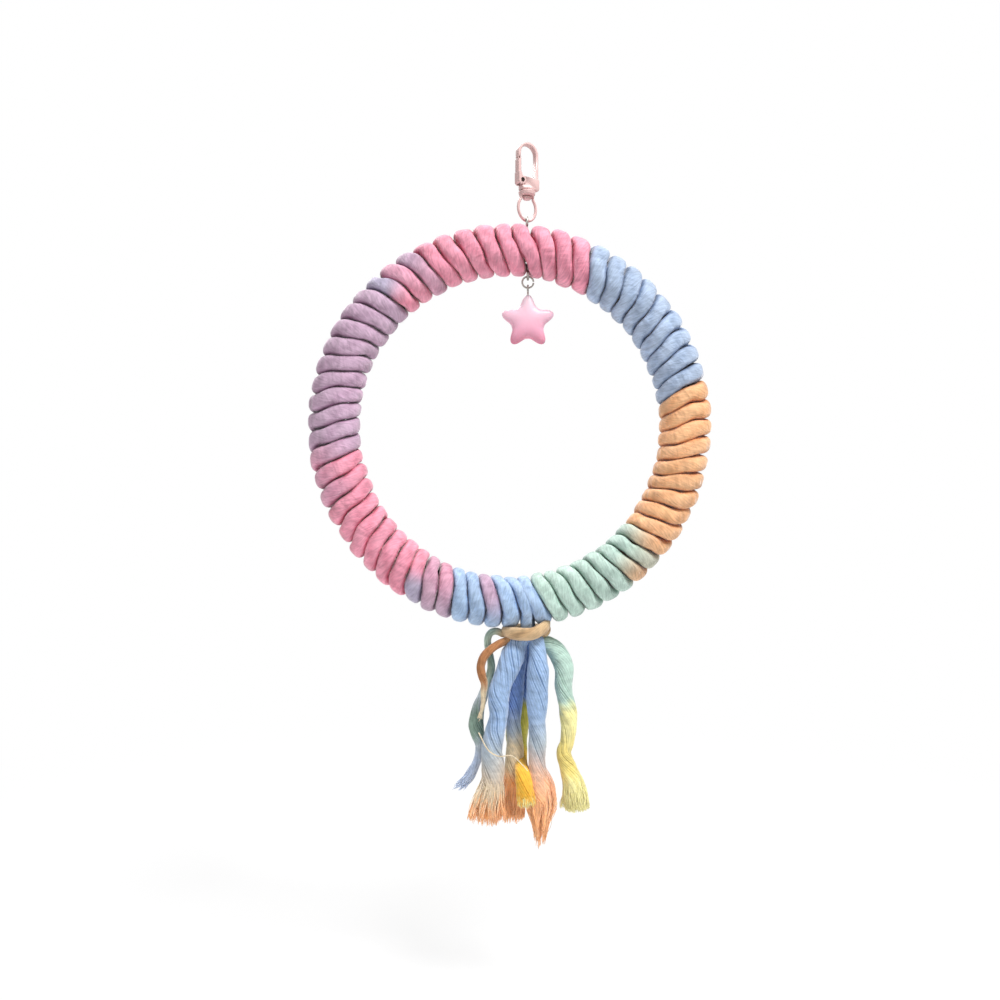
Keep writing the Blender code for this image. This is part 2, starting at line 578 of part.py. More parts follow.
def build_star(perch, steel, resin):
    low_wire, jump_z, jump_low, loop_z = link_heights()
    x = bottom_eye_x()
    hang = Vector((x, 0, low_wire))
    reach = (JUMP_DIAMETER - JUMP_WIRE) / 2
    split = np.linspace(JUMP_SPLIT, 2 * math.pi - JUMP_SPLIT, 25)
    ring = [Vector((x + reach * math.cos(a), 0, jump_z + reach * math.sin(a))) - hang for a in split]
    link = add_object("jump_ring", tube_curve("jump_ring", ring, JUMP_WIRE / 2, 8), steel, perch,
                      hang - perch.location)

    pivot = Vector((x, 0, jump_low))
    star_frame = frame_empty("star_frame", pivot - hang, parent=link)
    tip_z = loop_z - STAR_LOOP_BORE / 2 - STAR_SINK
    screw_end = tip_z - STAR_SCREW_DEPTH
    points = [Vector(p) - pivot for p in screw_eye_points(x, loop_z, STAR_LOOP_BORE, STAR_WIRE, screw_end)]
    add_object("star_screw_eye", tube_curve("star_screw_eye", points, STAR_WIRE / 2, 8), steel, star_frame)
    body = to_mesh("star_pendant", star_bmesh(tip_z), pivot, 60)
    star = add_object("star_pendant", body, resin, star_frame)
    hole = turned(pin_profile(STAR_WIRE / 2 + FIT_GAP, screw_end - FIT_GAP, loop_z), 12)
    bmesh.ops.translate(hole, verts=hole.verts, vec=Vector((x, 0, 0)) - pivot)
    boolean(star, hole)


# Tassel: each route is x, y, z in millimetres from the point under the clasp at the height of the
# winding's foot, chosen by hand

BAND_ROUTE = [(10.6, -3.2, -3.1), (8, -8.4, -2.6), (2, -10.7, -3.5), (-4.8, -9.2, -4.8),
              (-9.1, -2.2, -5.8), (-9, 6, -5.2), (-5, 12.8, -4.9), (1.2, 14.8, -4.8),
              (7, 10.2, -4.8), (8.7, 4.2, -5.2)]
TAIL_ROUTES = {
    "tail_blue_left": [(-2.6, -2.6, -12.1), (-5.8, -4.8, -17.6), (-10, -6.5, -24.1),
                       (-14.3, -6, -36.6), (-13.4, -5, -48.6), (-16.8, -4.5, -61.6),
                       (-19.6, -4, -72.6), (-15.5, -4, -85.6)],
    "tail_mint_yellow": [(5.8, 1.2, -10.6), (11, 0.2, -13.6), (17.5, -1, -17.1),
                         (21.3, -2, -24.6), (18.2, -2.5, -36.6), (19.6, -2.5, -49.6),
                         (20.9, -2.5, -59.6), (18.6, -2.5, -69.6), (20.6, -2.5, -79.6),
                         (24.5, -2.5, -89.6)],
    "tail_blue_right": [(4.4, -3.2, 0.5), (4.2, -3.6, -7.6), (5, -5.6, -13.6),
                        (6.6, -6.6, -19.6), (5.2, -6.5, -31.6), (3.6, -6, -46.6),
                        (5, -6, -59.1), (3.6, -6, -71.6), (6.8, -6, -84.1),
                        (5, -6, -98.6)],
    "tail_blue_middle": [(-3.4, 2.8, -0.6), (-3.6, 3.2, -7.6), (-4, 5.2, -17.6),
                         (-6, 5, -27.6), (-7.4, 4.6, -36.6), (-6, 4.2, -56.6),
                         (-6.5, 4.2, -71.6), (-7.5, 4, -84.6)],
    "tail_olive_back": [(-1.2, 8.6, -2.1), (-0.8, 9, -8.6), (2.4, 12, -17.6),
                        (0.5, 13, -31.6), (-1.5, 13.4, -43.6), (-2.5, 13, -59.6),
                        (-3.5, 12.5, -77.6), (-1.5, 12, -87.6)],
    "tail_sage_left": [(-12.8, -2, -4.1), (-15.2, -2, -2.3), (-18.5, -2.6, -2.8),
                       (-20.6, -2.8, -7.1), (-19.2, -1.4, -16.6), (-19.8, 0.5, -26.6),
                       (-23, 1.5, -39.1), (-26, 2, -49.1), (-27, 2.5, -57.6),
                       (-24.8, 3.5, -65.6), (-26.6, 4.5, -74.1), (-32, 4, -82.1)],
    "tail_rust_left": [(-9.6, -3.8, -10.3), (-15.2, -6.8, -12.6), (-22, -8, -17.1),
                       (-24.4, -7.4, -24.1), (-22, -6, -34.1), (-23, -5, -46.6)],
}
TAIL_SIZES = {  # radius in the neck and radius when full, in millimetres
    "tail_blue_left": (2.2, 4.8), "tail_mint_yellow": (2.2, 5.4), "tail_blue_right": (2.2, 4.8),
    "tail_blue_middle": (2.2, 4.4), "tail_olive_back": (2.2, 4.0), "tail_sage_left": (1.6, 3.4),
    "tail_rust_left": (1.7, 2.2),
}
LED_BY_ROPE = {"tail_blue_left": 0, "tail_mint_yellow": -1}     # tails that carry on an end of the winding


def build_tassel(perch, cottons):
    foot = Vector((0, 0, WINDING_FOOT))
    points, _ = smooth_route(BAND_ROUTE, BAND_STEPS)
    band = [foot + Vector(p) * MM - perch.location for p in points]
    add_object("tie_band", tube_curve("tie_band", band, BAND_DIAMETER / 2, 8), cottons["tan"], perch)

    rope, _ = rope_path()
    for name, route in TAIL_ROUTES.items():
        neck, full = [size * MM for size in TAIL_SIZES[name]]
        straight = []
        if name in LED_BY_ROPE:
            end = LED_BY_ROPE[name]
            way = Vector(END_WAYS[end]).normalized()
            straight = [Vector(rope[end]) + way * SEAT_GAP]
            route = [tuple((straight[0] + way * 2 * neck - foot) / MM)] + route
        points, along = smooth_route(route, TAIL_STEPS - len(straight))
        places = straight + [foot + Vector(p) * MM for p in points]
        swell = np.clip((along * MM - NECK_LENGTH) / SWELL_LENGTH, 0, 1)
        radius = neck + (full - neck) * swell * swell * (3 - 2 * swell)
        shares = np.concatenate([[neck] * len(straight), radius]) / full
        tail = tube_curve(name, [p - perch.location for p in places], full, 8, shares)
        add_object(name, tail, cottons[name.split("_")[1]], perch)


def main():
    clear_scene()
    enamel = material("pink_enamel", (0.80, 0.62, 0.60), 0.30)
    steel = material("steel_wire", (0.42, 0.40, 0.37), 0.30, 1.0)
    cane = material("cane", (0.55, 0.36, 0.18), 0.60)
    resin = material("star_resin", (0.90, 0.45, 0.57), 0.15)
    rope = material("rope_cotton", (0.60, 0.30, 0.42), 0.90)
    dyes = {"tan": (0.62, 0.42, 0.22), "blue": (0.38, 0.51, 0.76), "mint": (0.62, 0.68, 0.40),
            "olive": (0.48, 0.46, 0.16), "sage": (0.36, 0.42, 0.34), "rust": (0.50, 0.20, 0.06)}
    cottons = {dye: material(f"{dye}_cotton", colour, 0.90) for dye, colour in dyes.items()}
    clasp = frame_empty("clasp_frame", yaw=CLASP_YAW)
    perch = frame_empty("perch_frame", (0, 0, EYE_WIRE_Z))
    build_clasp(clasp, enamel, steel)
    build_swivel(clasp, enamel)
    build_hoop(perch, cane, rope, steel)
    build_star(perch, steel, resin)
    build_tassel(perch, cottons)


main()
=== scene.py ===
"""Dressed model of the hanging rope perch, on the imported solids, in metres.

The camera looks along +Y.  Rope, star and wire repeat the solids' own formulas at a finer step, the
rope with soft bends.  Tails and tie follow routes close to those of their solids.  The lay of the
rope, the yarns, the fuzz and the frayed ends are added here.
"""
import math

import bmesh
import bpy
import numpy as np
from mathutils import Matrix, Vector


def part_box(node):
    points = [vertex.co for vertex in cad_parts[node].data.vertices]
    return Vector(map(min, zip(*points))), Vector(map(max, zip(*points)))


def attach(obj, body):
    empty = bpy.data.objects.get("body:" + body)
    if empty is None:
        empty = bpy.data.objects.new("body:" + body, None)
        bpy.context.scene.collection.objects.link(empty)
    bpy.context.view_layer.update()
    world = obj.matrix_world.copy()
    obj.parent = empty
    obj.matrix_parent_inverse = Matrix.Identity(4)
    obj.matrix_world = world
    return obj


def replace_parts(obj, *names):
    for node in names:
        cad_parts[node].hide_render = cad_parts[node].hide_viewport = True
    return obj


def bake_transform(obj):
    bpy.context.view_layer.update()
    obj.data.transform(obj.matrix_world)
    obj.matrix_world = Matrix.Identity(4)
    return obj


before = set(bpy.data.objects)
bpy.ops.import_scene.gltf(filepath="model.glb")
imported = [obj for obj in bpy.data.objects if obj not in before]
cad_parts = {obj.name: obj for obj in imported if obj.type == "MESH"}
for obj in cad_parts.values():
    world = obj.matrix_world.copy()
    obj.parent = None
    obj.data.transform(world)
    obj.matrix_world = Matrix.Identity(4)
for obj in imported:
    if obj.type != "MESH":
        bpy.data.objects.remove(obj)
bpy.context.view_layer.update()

MM = 0.001
TAU = 2 * math.pi

# Sizes repeated from the solids

SEAT_GAP = 0.30 * MM
HOOP_OFFSET = 8.7 * MM
HOOP_RADIUS = 87.0 * MM
HOOP_Z = -140.1 * MM
CANE_RADIUS = 4.6 * MM
WOUND_RADIUS = 13.3 * MM
ROPE_MIDDLE = (WOUND_RADIUS + CANE_RADIUS) / 2
TURNS = 65
TURN_GAP = 0.50 * MM
FRONT_LEAN = 0.42
SPREAD = 4.8 * MM
START_ANGLE = math.radians(175.0)
END_TANGENT = math.radians(62)
END_LENGTH = 13.5 * MM
SCREW_WIRE = 1.2 * MM
TOP_LOOP_BORE = 4.0 * MM
BOTTOM_LOOP_BORE = 3.4 * MM
EYE_ROOM = 2 * SEAT_GAP + SCREW_WIRE / 2
CLASP_YAW = math.radians(32)    # how far the clasp is turned on its swivel
HOOK_FLAT = 1.5 * MM            # half the depth of the hook's bar
PIVOT_X, PIVOT_Z = -3.9 * MM, -18.0 * MM
SPRING_WIRE = 0.30 * MM
SPRING_COIL = 0.995 * MM        # radius of the coil's middle line
SPRING_TURNS, SPRING_PITCH = 1.25, 0.42 * MM
SPRING_LEG = 2.2 * MM
JUMP_WIRE = 0.9 * MM
JUMP_DIAMETER = 6.5 * MM
STAR_WIRE = 0.9 * MM
STAR_LOOP_BORE = 2.4 * MM
STAR_TIP_RADIUS = 13.5 * MM
STAR_WAIST_RADIUS = 8.5 * MM
STAR_THICKNESS = 7.0 * MM
STAR_SHARPNESS = 1.55
STAR_DOME = 2.4
STAR_BLEND = 1.6                # how fast the star's contours round off towards its middle
BAND_RADIUS = 3.0 * MM
WINDING_FOOT = HOOP_Z - HOOP_RADIUS - WOUND_RADIUS
PITCH_ANGLE = (TAU - SPREAD / HOOP_RADIUS) / TURNS

# Places of the wire links and of the star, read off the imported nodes
BOTTOM_EYE_X = (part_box("bottom_screw_eye")[0].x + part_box("bottom_screw_eye")[1].x) / 2
TOP_EYE_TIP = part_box("top_screw_eye")[0].z
BOTTOM_EYE_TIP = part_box("bottom_screw_eye")[1].z
TOP_LOOP_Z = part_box("top_screw_eye")[1].z - SCREW_WIRE - TOP_LOOP_BORE / 2
BOTTOM_LOOP_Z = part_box("bottom_screw_eye")[0].z + SCREW_WIRE + BOTTOM_LOOP_BORE / 2
JUMP_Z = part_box("jump_ring")[0].z + JUMP_DIAMETER / 2
STAR_LOOP_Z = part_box("star_screw_eye")[1].z - STAR_WIRE - STAR_LOOP_BORE / 2
STAR_SCREW_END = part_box("star_screw_eye")[0].z
STAR_TIP_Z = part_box("star_pendant")[1].z

# The hook's thin lip, in the clasp's own axes: the limits within which the flat faces' points lie on
# it, and the places across the clasp to which those at its corner and at its point are moved
LIP_INSIDE, LIP_TOP, LIP_MIDDLE = -5.5 * MM, -5.8 * MM, -6.5 * MM
LIP_CORNER, LIP_POINT = -5.60 * MM, -5.675 * MM
SHARP_ANGLE = math.radians(30)  # edges of the hook that bend more than this stay sharp
SAME_PLACE, SAME_PLANE = 0.001 * MM, 0.01 * MM

# Look of the rope
QUARTER = 0.25                  # of a turn, as from the hoop's outer side to its front
ROPE_STEPS, ROPE_SIDES = 54, 28  # rings per turn and points per ring
LAY_LENGTH = 46.0 * MM          # one full twist of the rope's three strands
YARN_LENGTH = -52.0 * MM        # one full twist of the fine yarns, the other way
GROOVE = 0.06                   # depth between strands, as a share of the rope's radius
PLUMP, STAND_OFF = 1.03, 1.03   # how much fuller the soft rope is than its solid, and further out
UNEVEN = 0.36 * MM              # how far it rises and sinks along its run
CREVICE = -0.06 * MM            # gap between two turns; below zero, they press into each other
MOST_SWOLLEN = 1.16             # widest turn, as a share of an even one
BOXY, FLAT_TOP = 0.70, 0.90     # how square the pressed turns are, across and outwards; 1 is round
LINK_ROOM = 0.80 * MM           # how far the rope gives way to the jump ring
LINK_WIDTH_ROOM = 0.06          # by what share of its width it does so
FOOT_LEAN = 3.8 * MM            # how far the first turn leans over the place where the rope starts
LEANING_TURNS, LEAN_LEFT = 4, 0.55  # turns that lean, and the share of the lean that the next one keeps
EYE_PULL = 2.0 * MM             # how far the soft turns close in on the screw eyes
EYE_PULL_TURNS = 3.0            # over how many turns that fades
# S bends of the turns: reach, bends per turn, drift of the bends, drifts per turn and seed
SWAYS = [(0.75 * MM, 2.07, 2.2, 0.6, 21), (0.42 * MM, 4.12, 3.0, 0.8, 23)]
END_WAYS = ((-0.03, 0.36, -0.93), (0.15, -0.35, -0.92))  # directions in which the rope's ends leave
END_STEPS = 14                  # rings on each end
FUZZ_HAIRS, FUZZ_RADIUS = 9000, 0.028 * MM
FUZZ_REACH, FUZZ_RISE = (0.8, 2.6), (0.15, 0.6)  # least and most, in millimetres and as a slope
FUZZ_WHITE_HIGHLIGHT = 0.45                # painted highlight: how much of each hair's dye is mixed with white
CREST_HIGHLIGHT = 0.04                     # painted highlight: how much paler the fibres on the crest of a turn are
PINCHES = 34                    # places where a turn is drawn in and a dark gap opens
# How far the turns are pushed on round the hoop, in degrees: place, clockwise from the top, then push
CROWDING = [(0, 0), (16, 0), (45, 1.8), (95, 2.6), (122, 2.2), (150, 0.8), (165, 0.8), (174, 0),
            (180, -0.6), (200, -3.4), (218, -4.6), (250, -4.6), (285, -3.0), (318, -1.8),
            (345, -0.6), (360, 0)]


def srgb(*value):
    """Linear RGB of a colour that is written as 0 to 255 on screen."""
    v = np.array(value, float) / 255
    return np.where(v <= 0.04045, v / 12.92, ((v + 0.055) / 1.055) ** 2.4)


PINK, ROSE = srgb(230, 146, 168), srgb(214, 152, 176)
BLUE, PALE_BLUE = srgb(164, 190, 222), srgb(164, 182, 208)
TAIL_BLUE, DEEP_BLUE = srgb(158, 184, 218), srgb(126, 154, 206)
PEACH, MINT = srgb(236, 180, 130), srgb(184, 210, 198)
LILAC, DUSK = srgb(190, 158, 182), srgb(176, 166, 190)
YELLOW, WARM_YELLOW = srgb(241, 233, 168), srgb(239, 220, 136)
SAGE, DARK_SAGE = srgb(186, 204, 188), srgb(138, 162, 148)
RUST, CREAM, TAN = srgb(178, 124, 82), srgb(230, 212, 180), srgb(208, 176, 136)
OLIVE, OCHRE = srgb(190, 184, 84), srgb(242, 190, 70)
GREY, BEIGE, ORANGE = srgb(184, 194, 202), srgb(220, 204, 184), srgb(249, 188, 132)
MAUVE, SALMON, PALE_TIP = srgb(208, 188, 180), srgb(240, 186, 150), srgb(196, 210, 234)


def unit(v):
    """Vectors of length 1 along the last axis."""
    return v / np.linalg.norm(v, axis=-1, keepdims=True)


def smoothstep(x):
    """A soft step from 0 to 1 while x runs from 0 to 1."""
    x = np.clip(x, 0, 1)
    return x * x * (3 - 2 * x)


def wander(x, seed, low=-1.0, high=1.0):
    """Smooth noise of x, from low to high, one random value for each whole number."""
    steps = np.random.default_rng(seed).uniform(low, high, 4096)
    whole = np.floor(x).astype(int)
    share = smoothstep(x - whole)
    return steps[whole % 4096] * (1 - share) + steps[(whole + 1) % 4096] * share


def smooth_route(route, count):
    """Evenly spaced points on a smooth curve through the route, and the distance along it of each."""
    p = np.array([route[0], *route, route[-1]], float)
    p[0] = 2 * p[1] - p[2]
    p[-1] = 2 * p[-2] - p[-3]
    s = np.linspace(0, 1, 24, endpoint=False)[:, None]
    pieces = []
    for a, b, c, d in zip(p, p[1:], p[2:], p[3:]):
        pieces.append(0.5 * (2 * b + (c - a) * s + (2 * a - 5 * b + 4 * c - d) * s ** 2
                             + (3 * b - a - 3 * c + d) * s ** 3))
    dense = np.vstack([*pieces, p[-2:-1]])
    along = lengths(dense)
    wanted = np.linspace(0, along[-1], count)
    return sampled(wanted, along, dense), wanted


def sampled(at, along, values):
    """Vectors between those given along a line, at other distances along it."""
    return np.stack([np.interp(at, along, values[:, k]) for k in range(3)], axis=1)


def lengths(points):
    """Distance along a line of points, from its start to each point."""
    return np.concatenate([[0], np.cumsum(np.linalg.norm(np.diff(points, axis=0), axis=1))])


def carried_frame(points, first):
    """Tangents, normals and side vectors along a line; the normal is carried on without twist."""
    tangents = unit(np.gradient(points, axis=0))
    normals = np.empty_like(tangents)
    n = np.array(first, float)
    for i, t in enumerate(tangents):
        n = n - t * n.dot(t)
        n = n / np.linalg.norm(n)
        normals[i] = n
    return tangents, normals, np.cross(tangents, normals)


# Making meshes

class Tubes:
    """Collects closed tubes, each a grid of rings, with a colour and yarn coordinates per point."""

    def __init__(self):
        self.points, self.faces, self.dye, self.yarn, self.shade = [], [], [], [], []
        self.count = 0

    def add(self, grid, dye, yarn=None, shade=None):
        """Adds one tube and closes it with flat caps."""
        n, m = grid.shape[:2]
        index = self.count + np.arange(n * m).reshape(n, m)
        after = np.roll(index, -1, axis=1)
        quads = np.stack([index[:-1], index[1:], after[1:], after[:-1]], axis=-1).reshape(-1, 4)
        self.faces += quads.tolist() + [index[0].tolist(), index[-1][::-1].tolist()]
        self.points.append(grid.reshape(-1, 3))
        self.dye.append(np.broadcast_to(dye, (n, m, 3)).reshape(-1, 3))
        self.yarn.append(np.zeros((n * m, 3)) if yarn is None else yarn.reshape(-1, 3))
        self.shade.append(np.zeros(n * m) if shade is None else shade.reshape(-1))
        self.count += n * m

    def piece(self, name, material, body):
        return add_piece(name, np.vstack(self.points), self.faces, material, body,
                         np.vstack(self.dye), np.vstack(self.yarn), np.concatenate(self.shade))


def add_object(name, data):
    """A new object of the scene."""
    obj = bpy.data.objects.new(name, data)
    bpy.context.scene.collection.objects.link(obj)
    return obj


def add_piece(name, points, faces, material, body, dye, yarn=None, shade=None):
    """A smooth mesh piece that rides on a body, if one is given, with its colours kept on its points."""
    mesh = bpy.data.meshes.new(name)
    mesh.from_pydata(points.tolist(), [], faces)
    colour = mesh.color_attributes.new("dye", "FLOAT_COLOR", "POINT")
    colour.data.foreach_set("color", np.hstack([dye, np.ones((len(dye), 1))]).astype(np.float32).ravel())
    if yarn is not None:
        where = mesh.attributes.new("yarn", "FLOAT_VECTOR", "POINT")
        where.data.foreach_set("vector", yarn.astype(np.float32).ravel())
    if shade is not None:
        deep = mesh.attributes.new("shade", "FLOAT", "POINT")
        deep.data.foreach_set("value", shade.astype(np.float32))
    mesh.shade_smooth()
    mesh.materials.append(material)
    obj = add_object(name, mesh)
    if body:
        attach(obj, body)
    return obj


def swept(points, normals, sides, across, out):
    """Rings of points: across runs along the side vector and out along the normal, per ring and point."""
    return points[:, None] + across[..., None] * sides[:, None] + out[..., None] * normals[:, None]


def round_tube(points, first, radius, sides_count):
    """A round tube along a line, and the angles of its points."""
    _, normals, sides = carried_frame(points, first)
    ring = np.linspace(0, TAU, sides_count, endpoint=False)[None, :]
    across, out = radius[:, None] * np.cos(ring), radius[:, None] * np.sin(ring)
    return swept(points, normals, sides, across, out), ring


def yarn_places(along, angle, radius, twist):
    """Coordinates in millimetres that run along a twisted yarn, with no seam round the rope."""
    turn = angle - TAU * along[:, None] / twist
    reach = np.broadcast_to(np.asarray(radius).reshape(-1, 1), turn.shape)
    spread = np.broadcast_to(along[:, None], turn.shape)
    return np.stack([spread, reach * np.cos(turn), reach * np.sin(turn)], axis=-1) / MM


# Materials

class Shader:
    """A Principled material with short calls to add and join its nodes."""

    def __init__(self, name, **inputs):
        self.material = bpy.data.materials.new(name)
        self.material.use_nodes = True
        self.tree = self.material.node_tree
        self.main = self.tree.nodes["Principled BSDF"]
        self.put(**inputs)

    def put(self, **inputs):
        """Sets inputs of the main node, whose names are written in lower case here."""
        for key, value in inputs.items():
            self.join(value, self.main, key.replace("_", " ").title().replace("Ior", "IOR"))

    def node(self, kind, settings=None, **inputs):
        made = self.tree.nodes.new("ShaderNode" + kind)
        for key, value in (settings or {}).items():
            setattr(made, key, value)
        for key, value in inputs.items():
            self.join(value, made, key)
        return made

    def join(self, value, node, key):
        """Sets a socket, given by name or as i and its number, to a value or to a node's output."""
        socket = node.inputs[int(key[1:])] if key[0] == "i" and key[1:].isdigit() else node.inputs[key]
        if isinstance(value, bpy.types.NodeSocket):
            self.tree.links.new(value, socket)
        else:
            socket.default_value = value

    def attribute(self, name, output):
        return self.node("Attribute", {"attribute_name": name}).outputs[output]

    def noise(self, vector, scale, detail=2.0, roughness=0.5):
        made = self.node("TexNoise", Vector=vector, Scale=scale, Detail=detail, Roughness=roughness)
        return made.outputs["Fac"]

    def stretched(self, vector, scale):
        return self.node("Mapping", {"vector_type": "POINT"}, Vector=vector, Scale=scale).outputs[0]

    def math(self, operation, a, b):
        return self.node("Math", {"operation": operation}, i0=a, i1=b).outputs[0]

    def between(self, value, low, high, start=0.0, end=1.0, kind="LINEAR"):
        """A value that runs from start to end, mapped to run from low to high."""
        made = self.node("MapRange", {"interpolation_type": kind}, Value=value)
        for key, number in (("From Min", start), ("From Max", end), ("To Min", low), ("To Max", high)):
            made.inputs[key].default_value = number
        return made.outputs[0]

    def mix(self, blend, factor, a, b):
        settings = {"data_type": "RGBA", "blend_type": blend}
        return self.node("Mix", settings, i0=factor, i6=a, i7=b).outputs[2]

    def bump(self, height, strength, distance, normal=None):
        made = self.node("Bump", Height=height, Strength=strength, Distance=distance)
        if normal is not None:
            self.join(normal, made, "Normal")
        return made.outputs[0]


SHADE_DARKENING = 0.78                   # painted shade: how much darker a crevice is than dye laid on dye


def cotton(name, yarn_width, relief, wrinkle):
    """Soft dyed cotton: fine yarns and fibres along the twist, streaked partly by dye and partly by
    painted light and shade, with painted shade in the crevices.
    """
    s = Shader(name, roughness=0.85, sheen_weight=0.5, sheen_roughness=0.4, specular_ior_level=0.25)
    where = s.attribute("yarn", "Vector")
    yarns = s.noise(s.stretched(where, (0.05, 1 / yarn_width, 1 / yarn_width)), 1.0, 1.0)
    fibres = s.noise(s.stretched(where, (0.30, 1.9, 1.9)), 1.0, 4.0, 0.65)
    patches = s.noise(s.stretched(where, (0.10, 0.16, 0.16)), 1.0)
    # partly streaks of dye, partly painted light and shade: paler where the yarns, fibres and wrinkles
    # rise in the bumps below, darker where they sink; the broad patches are dye alone
    tone = s.math("MULTIPLY", s.between(yarns, 0.82, 1.16), s.between(fibres, 0.78, 1.22, 0.3, 0.7))
    tone = s.math("MULTIPLY", tone, s.between(patches, 0.90, 1.10))
    wrinkles = s.noise(s.stretched(where, (0.42, 0.13, 0.13)), 1.0)
    tone = s.math("MULTIPLY", tone, s.between(wrinkles, 0.90, 1.08, 0.3, 0.6))
    dyed = s.mix("MULTIPLY", 1.0, s.attribute("dye", "Color"), tone)
    # painted shade: where the "shade" attribute is set, the dye is laid over itself and darkened
    deep = s.mix("MULTIPLY", 1.0, dyed, s.mix("MULTIPLY", 1.0, dyed, (SHADE_DARKENING, SHADE_DARKENING, SHADE_DARKENING, 1)))
    colour = s.mix("MIX", s.attribute("shade", "Fac"), dyed, deep)
    s.put(base_color=colour)
    coarse = s.bump(yarns, 0.55, relief, s.bump(wrinkles, wrinkle, 0.0022))
    s.put(normal=s.bump(fibres, 0.6, relief * 0.5, coarse))
    return s.material


def enamel():
    """Pale pink gloss paint on cast metal, with a faint orange peel and small changes in gloss."""
    s = Shader("pink_enamel", coat_weight=0.15, coat_roughness=0.2)
    where = s.node("TexCoord").outputs["Object"]
    cloud = s.noise(where, 160.0)
    s.put(base_color=s.mix("MIX", cloud, (*srgb(207, 173, 170), 1), (*srgb(212, 179, 175), 1)))
    s.put(roughness=s.between(s.noise(where, 1400.0), 0.34, 0.50))
    edges = s.node("Bevel", {"samples": 6}, Radius=0.0006).outputs[0]
    s.put(normal=s.bump(s.noise(where, 900.0, 1.0), 0.05, 0.00005, edges))
    return s.material


def steel(name, dark, pale):
    """Plain drawn wire: grey metal with fine scratches and darker patches."""
    s = Shader(name, metallic=1.0)
    where = s.node("TexCoord").outputs["Object"]
    patches = s.noise(where, 700.0, 3.0)
    s.put(base_color=s.mix("MIX", patches, (*dark, 1), (*pale, 1)))
    s.put(roughness=s.between(s.noise(where, 2400.0), 0.20, 0.42))
    s.put(normal=s.bump(s.noise(where, 5200.0), 0.12, 0.00004))
    return s.material


def resin():
    """Glossy cast resin, paler towards the star's tip and darker towards its foot, slightly see-through
    at the skin.
    """
    s = Shader("star_resin", roughness=0.42, coat_weight=0.12, coat_roughness=0.22,
               subsurface_weight=0.12, subsurface_radius=(0.003, 0.0012, 0.0012), subsurface_scale=1.0)
    where = s.node("TexCoord").outputs["Object"]
    cloud = s.between(s.noise(where, 160.0), 0.95, 1.05)
    s.put(base_color=s.mix("MULTIPLY", 1.0, s.attribute("dye", "Color"), cloud))
    s.put(roughness=s.between(s.noise(where, 900.0), 0.36, 0.50))
    s.put(normal=s.bump(s.noise(where, 380.0, 1.0), 0.05, 0.0002))
    return s.material


def cane():
    """Bare cane: pale straw with fine grain."""
    s = Shader("cane", roughness=0.62)
    where = s.node("TexCoord").outputs["Object"]
    grain = s.noise(where, 600.0, 4.0, 0.6)
    s.put(base_color=s.mix("MIX", grain, (*srgb(168, 124, 92), 1), (*srgb(214, 176, 138), 1)))
    s.put(normal=s.bump(grain, 0.3, 0.0002))
    return s.material


# Camera and stage

VIEW_WIDTH = 500.0 * MM         # across the picture, at the hoop
CAMERA_DISTANCE = 450.0 * MM
PICTURE_CENTRE = (-13.5 * MM, -177.0 * MM)
FLOOR_Z, FLOOR_REACH = -0.425, 3.0
FLOOR_FADE = (0.45, 0.75)       # distance from the middle over which the floor turns pure white
FLOOR_GLOW = 0.80               # how white the floor is under the object, where it shows the shadow
AMBIENT = 0.26                  # strength of the surroundings as a light
STAGE_MIDDLE = (0.0, 0.0, -0.17)
# Lamps: place, size and power
LAMPS = {"key": ((0.42, -0.46, 0.78), 0.4, 15.8), "fill": ((-0.8, -0.6, 0.0), 0.7, 1.5),
         "back": ((-0.35, 0.60, 0.70), 0.6, 8.0)}


def set_camera():
    """The camera, level and straight in front of the hoop."""
    data = bpy.data.cameras.new("camera")
    data.sensor_width = 36.0
    data.lens = data.sensor_width * CAMERA_DISTANCE / VIEW_WIDTH
    camera = add_object("camera", data)
    camera.location = (PICTURE_CENTRE[0], -CAMERA_DISTANCE, PICTURE_CENTRE[1])
    camera.rotation_euler = (math.pi / 2, 0, 0)
    bpy.context.scene.camera = camera


def seen_directly(tree):
    """One for rays that show a surface as such: straight, mirrored or through glass."""
    path = tree.nodes.new("ShaderNodeLightPath")
    total = path.outputs["Is Camera Ray"]
    for name in ("Is Glossy Ray", "Is Transmission Ray"):
        add = tree.nodes.new("ShaderNodeMath")
        add.operation = "MAXIMUM"
        tree.links.new(total, add.inputs[0])
        tree.links.new(path.outputs[name], add.inputs[1])
        total = add.outputs[0]
    return total


def set_world():
    """White surroundings that light the object at their own, lower strength."""
    world = bpy.data.worlds.new("studio")
    bpy.context.scene.world = world
    world.use_nodes = True
    tree = world.node_tree
    mix = tree.nodes.new("ShaderNodeMix")
    tree.links.new(seen_directly(tree), mix.inputs[0])
    mix.inputs[2].default_value, mix.inputs[3].default_value = AMBIENT, 1.0
    tree.links.new(mix.outputs[0], tree.nodes["Background"].inputs["Strength"])
    tree.nodes["Background"].inputs["Color"].default_value = (1, 1, 1, 1)


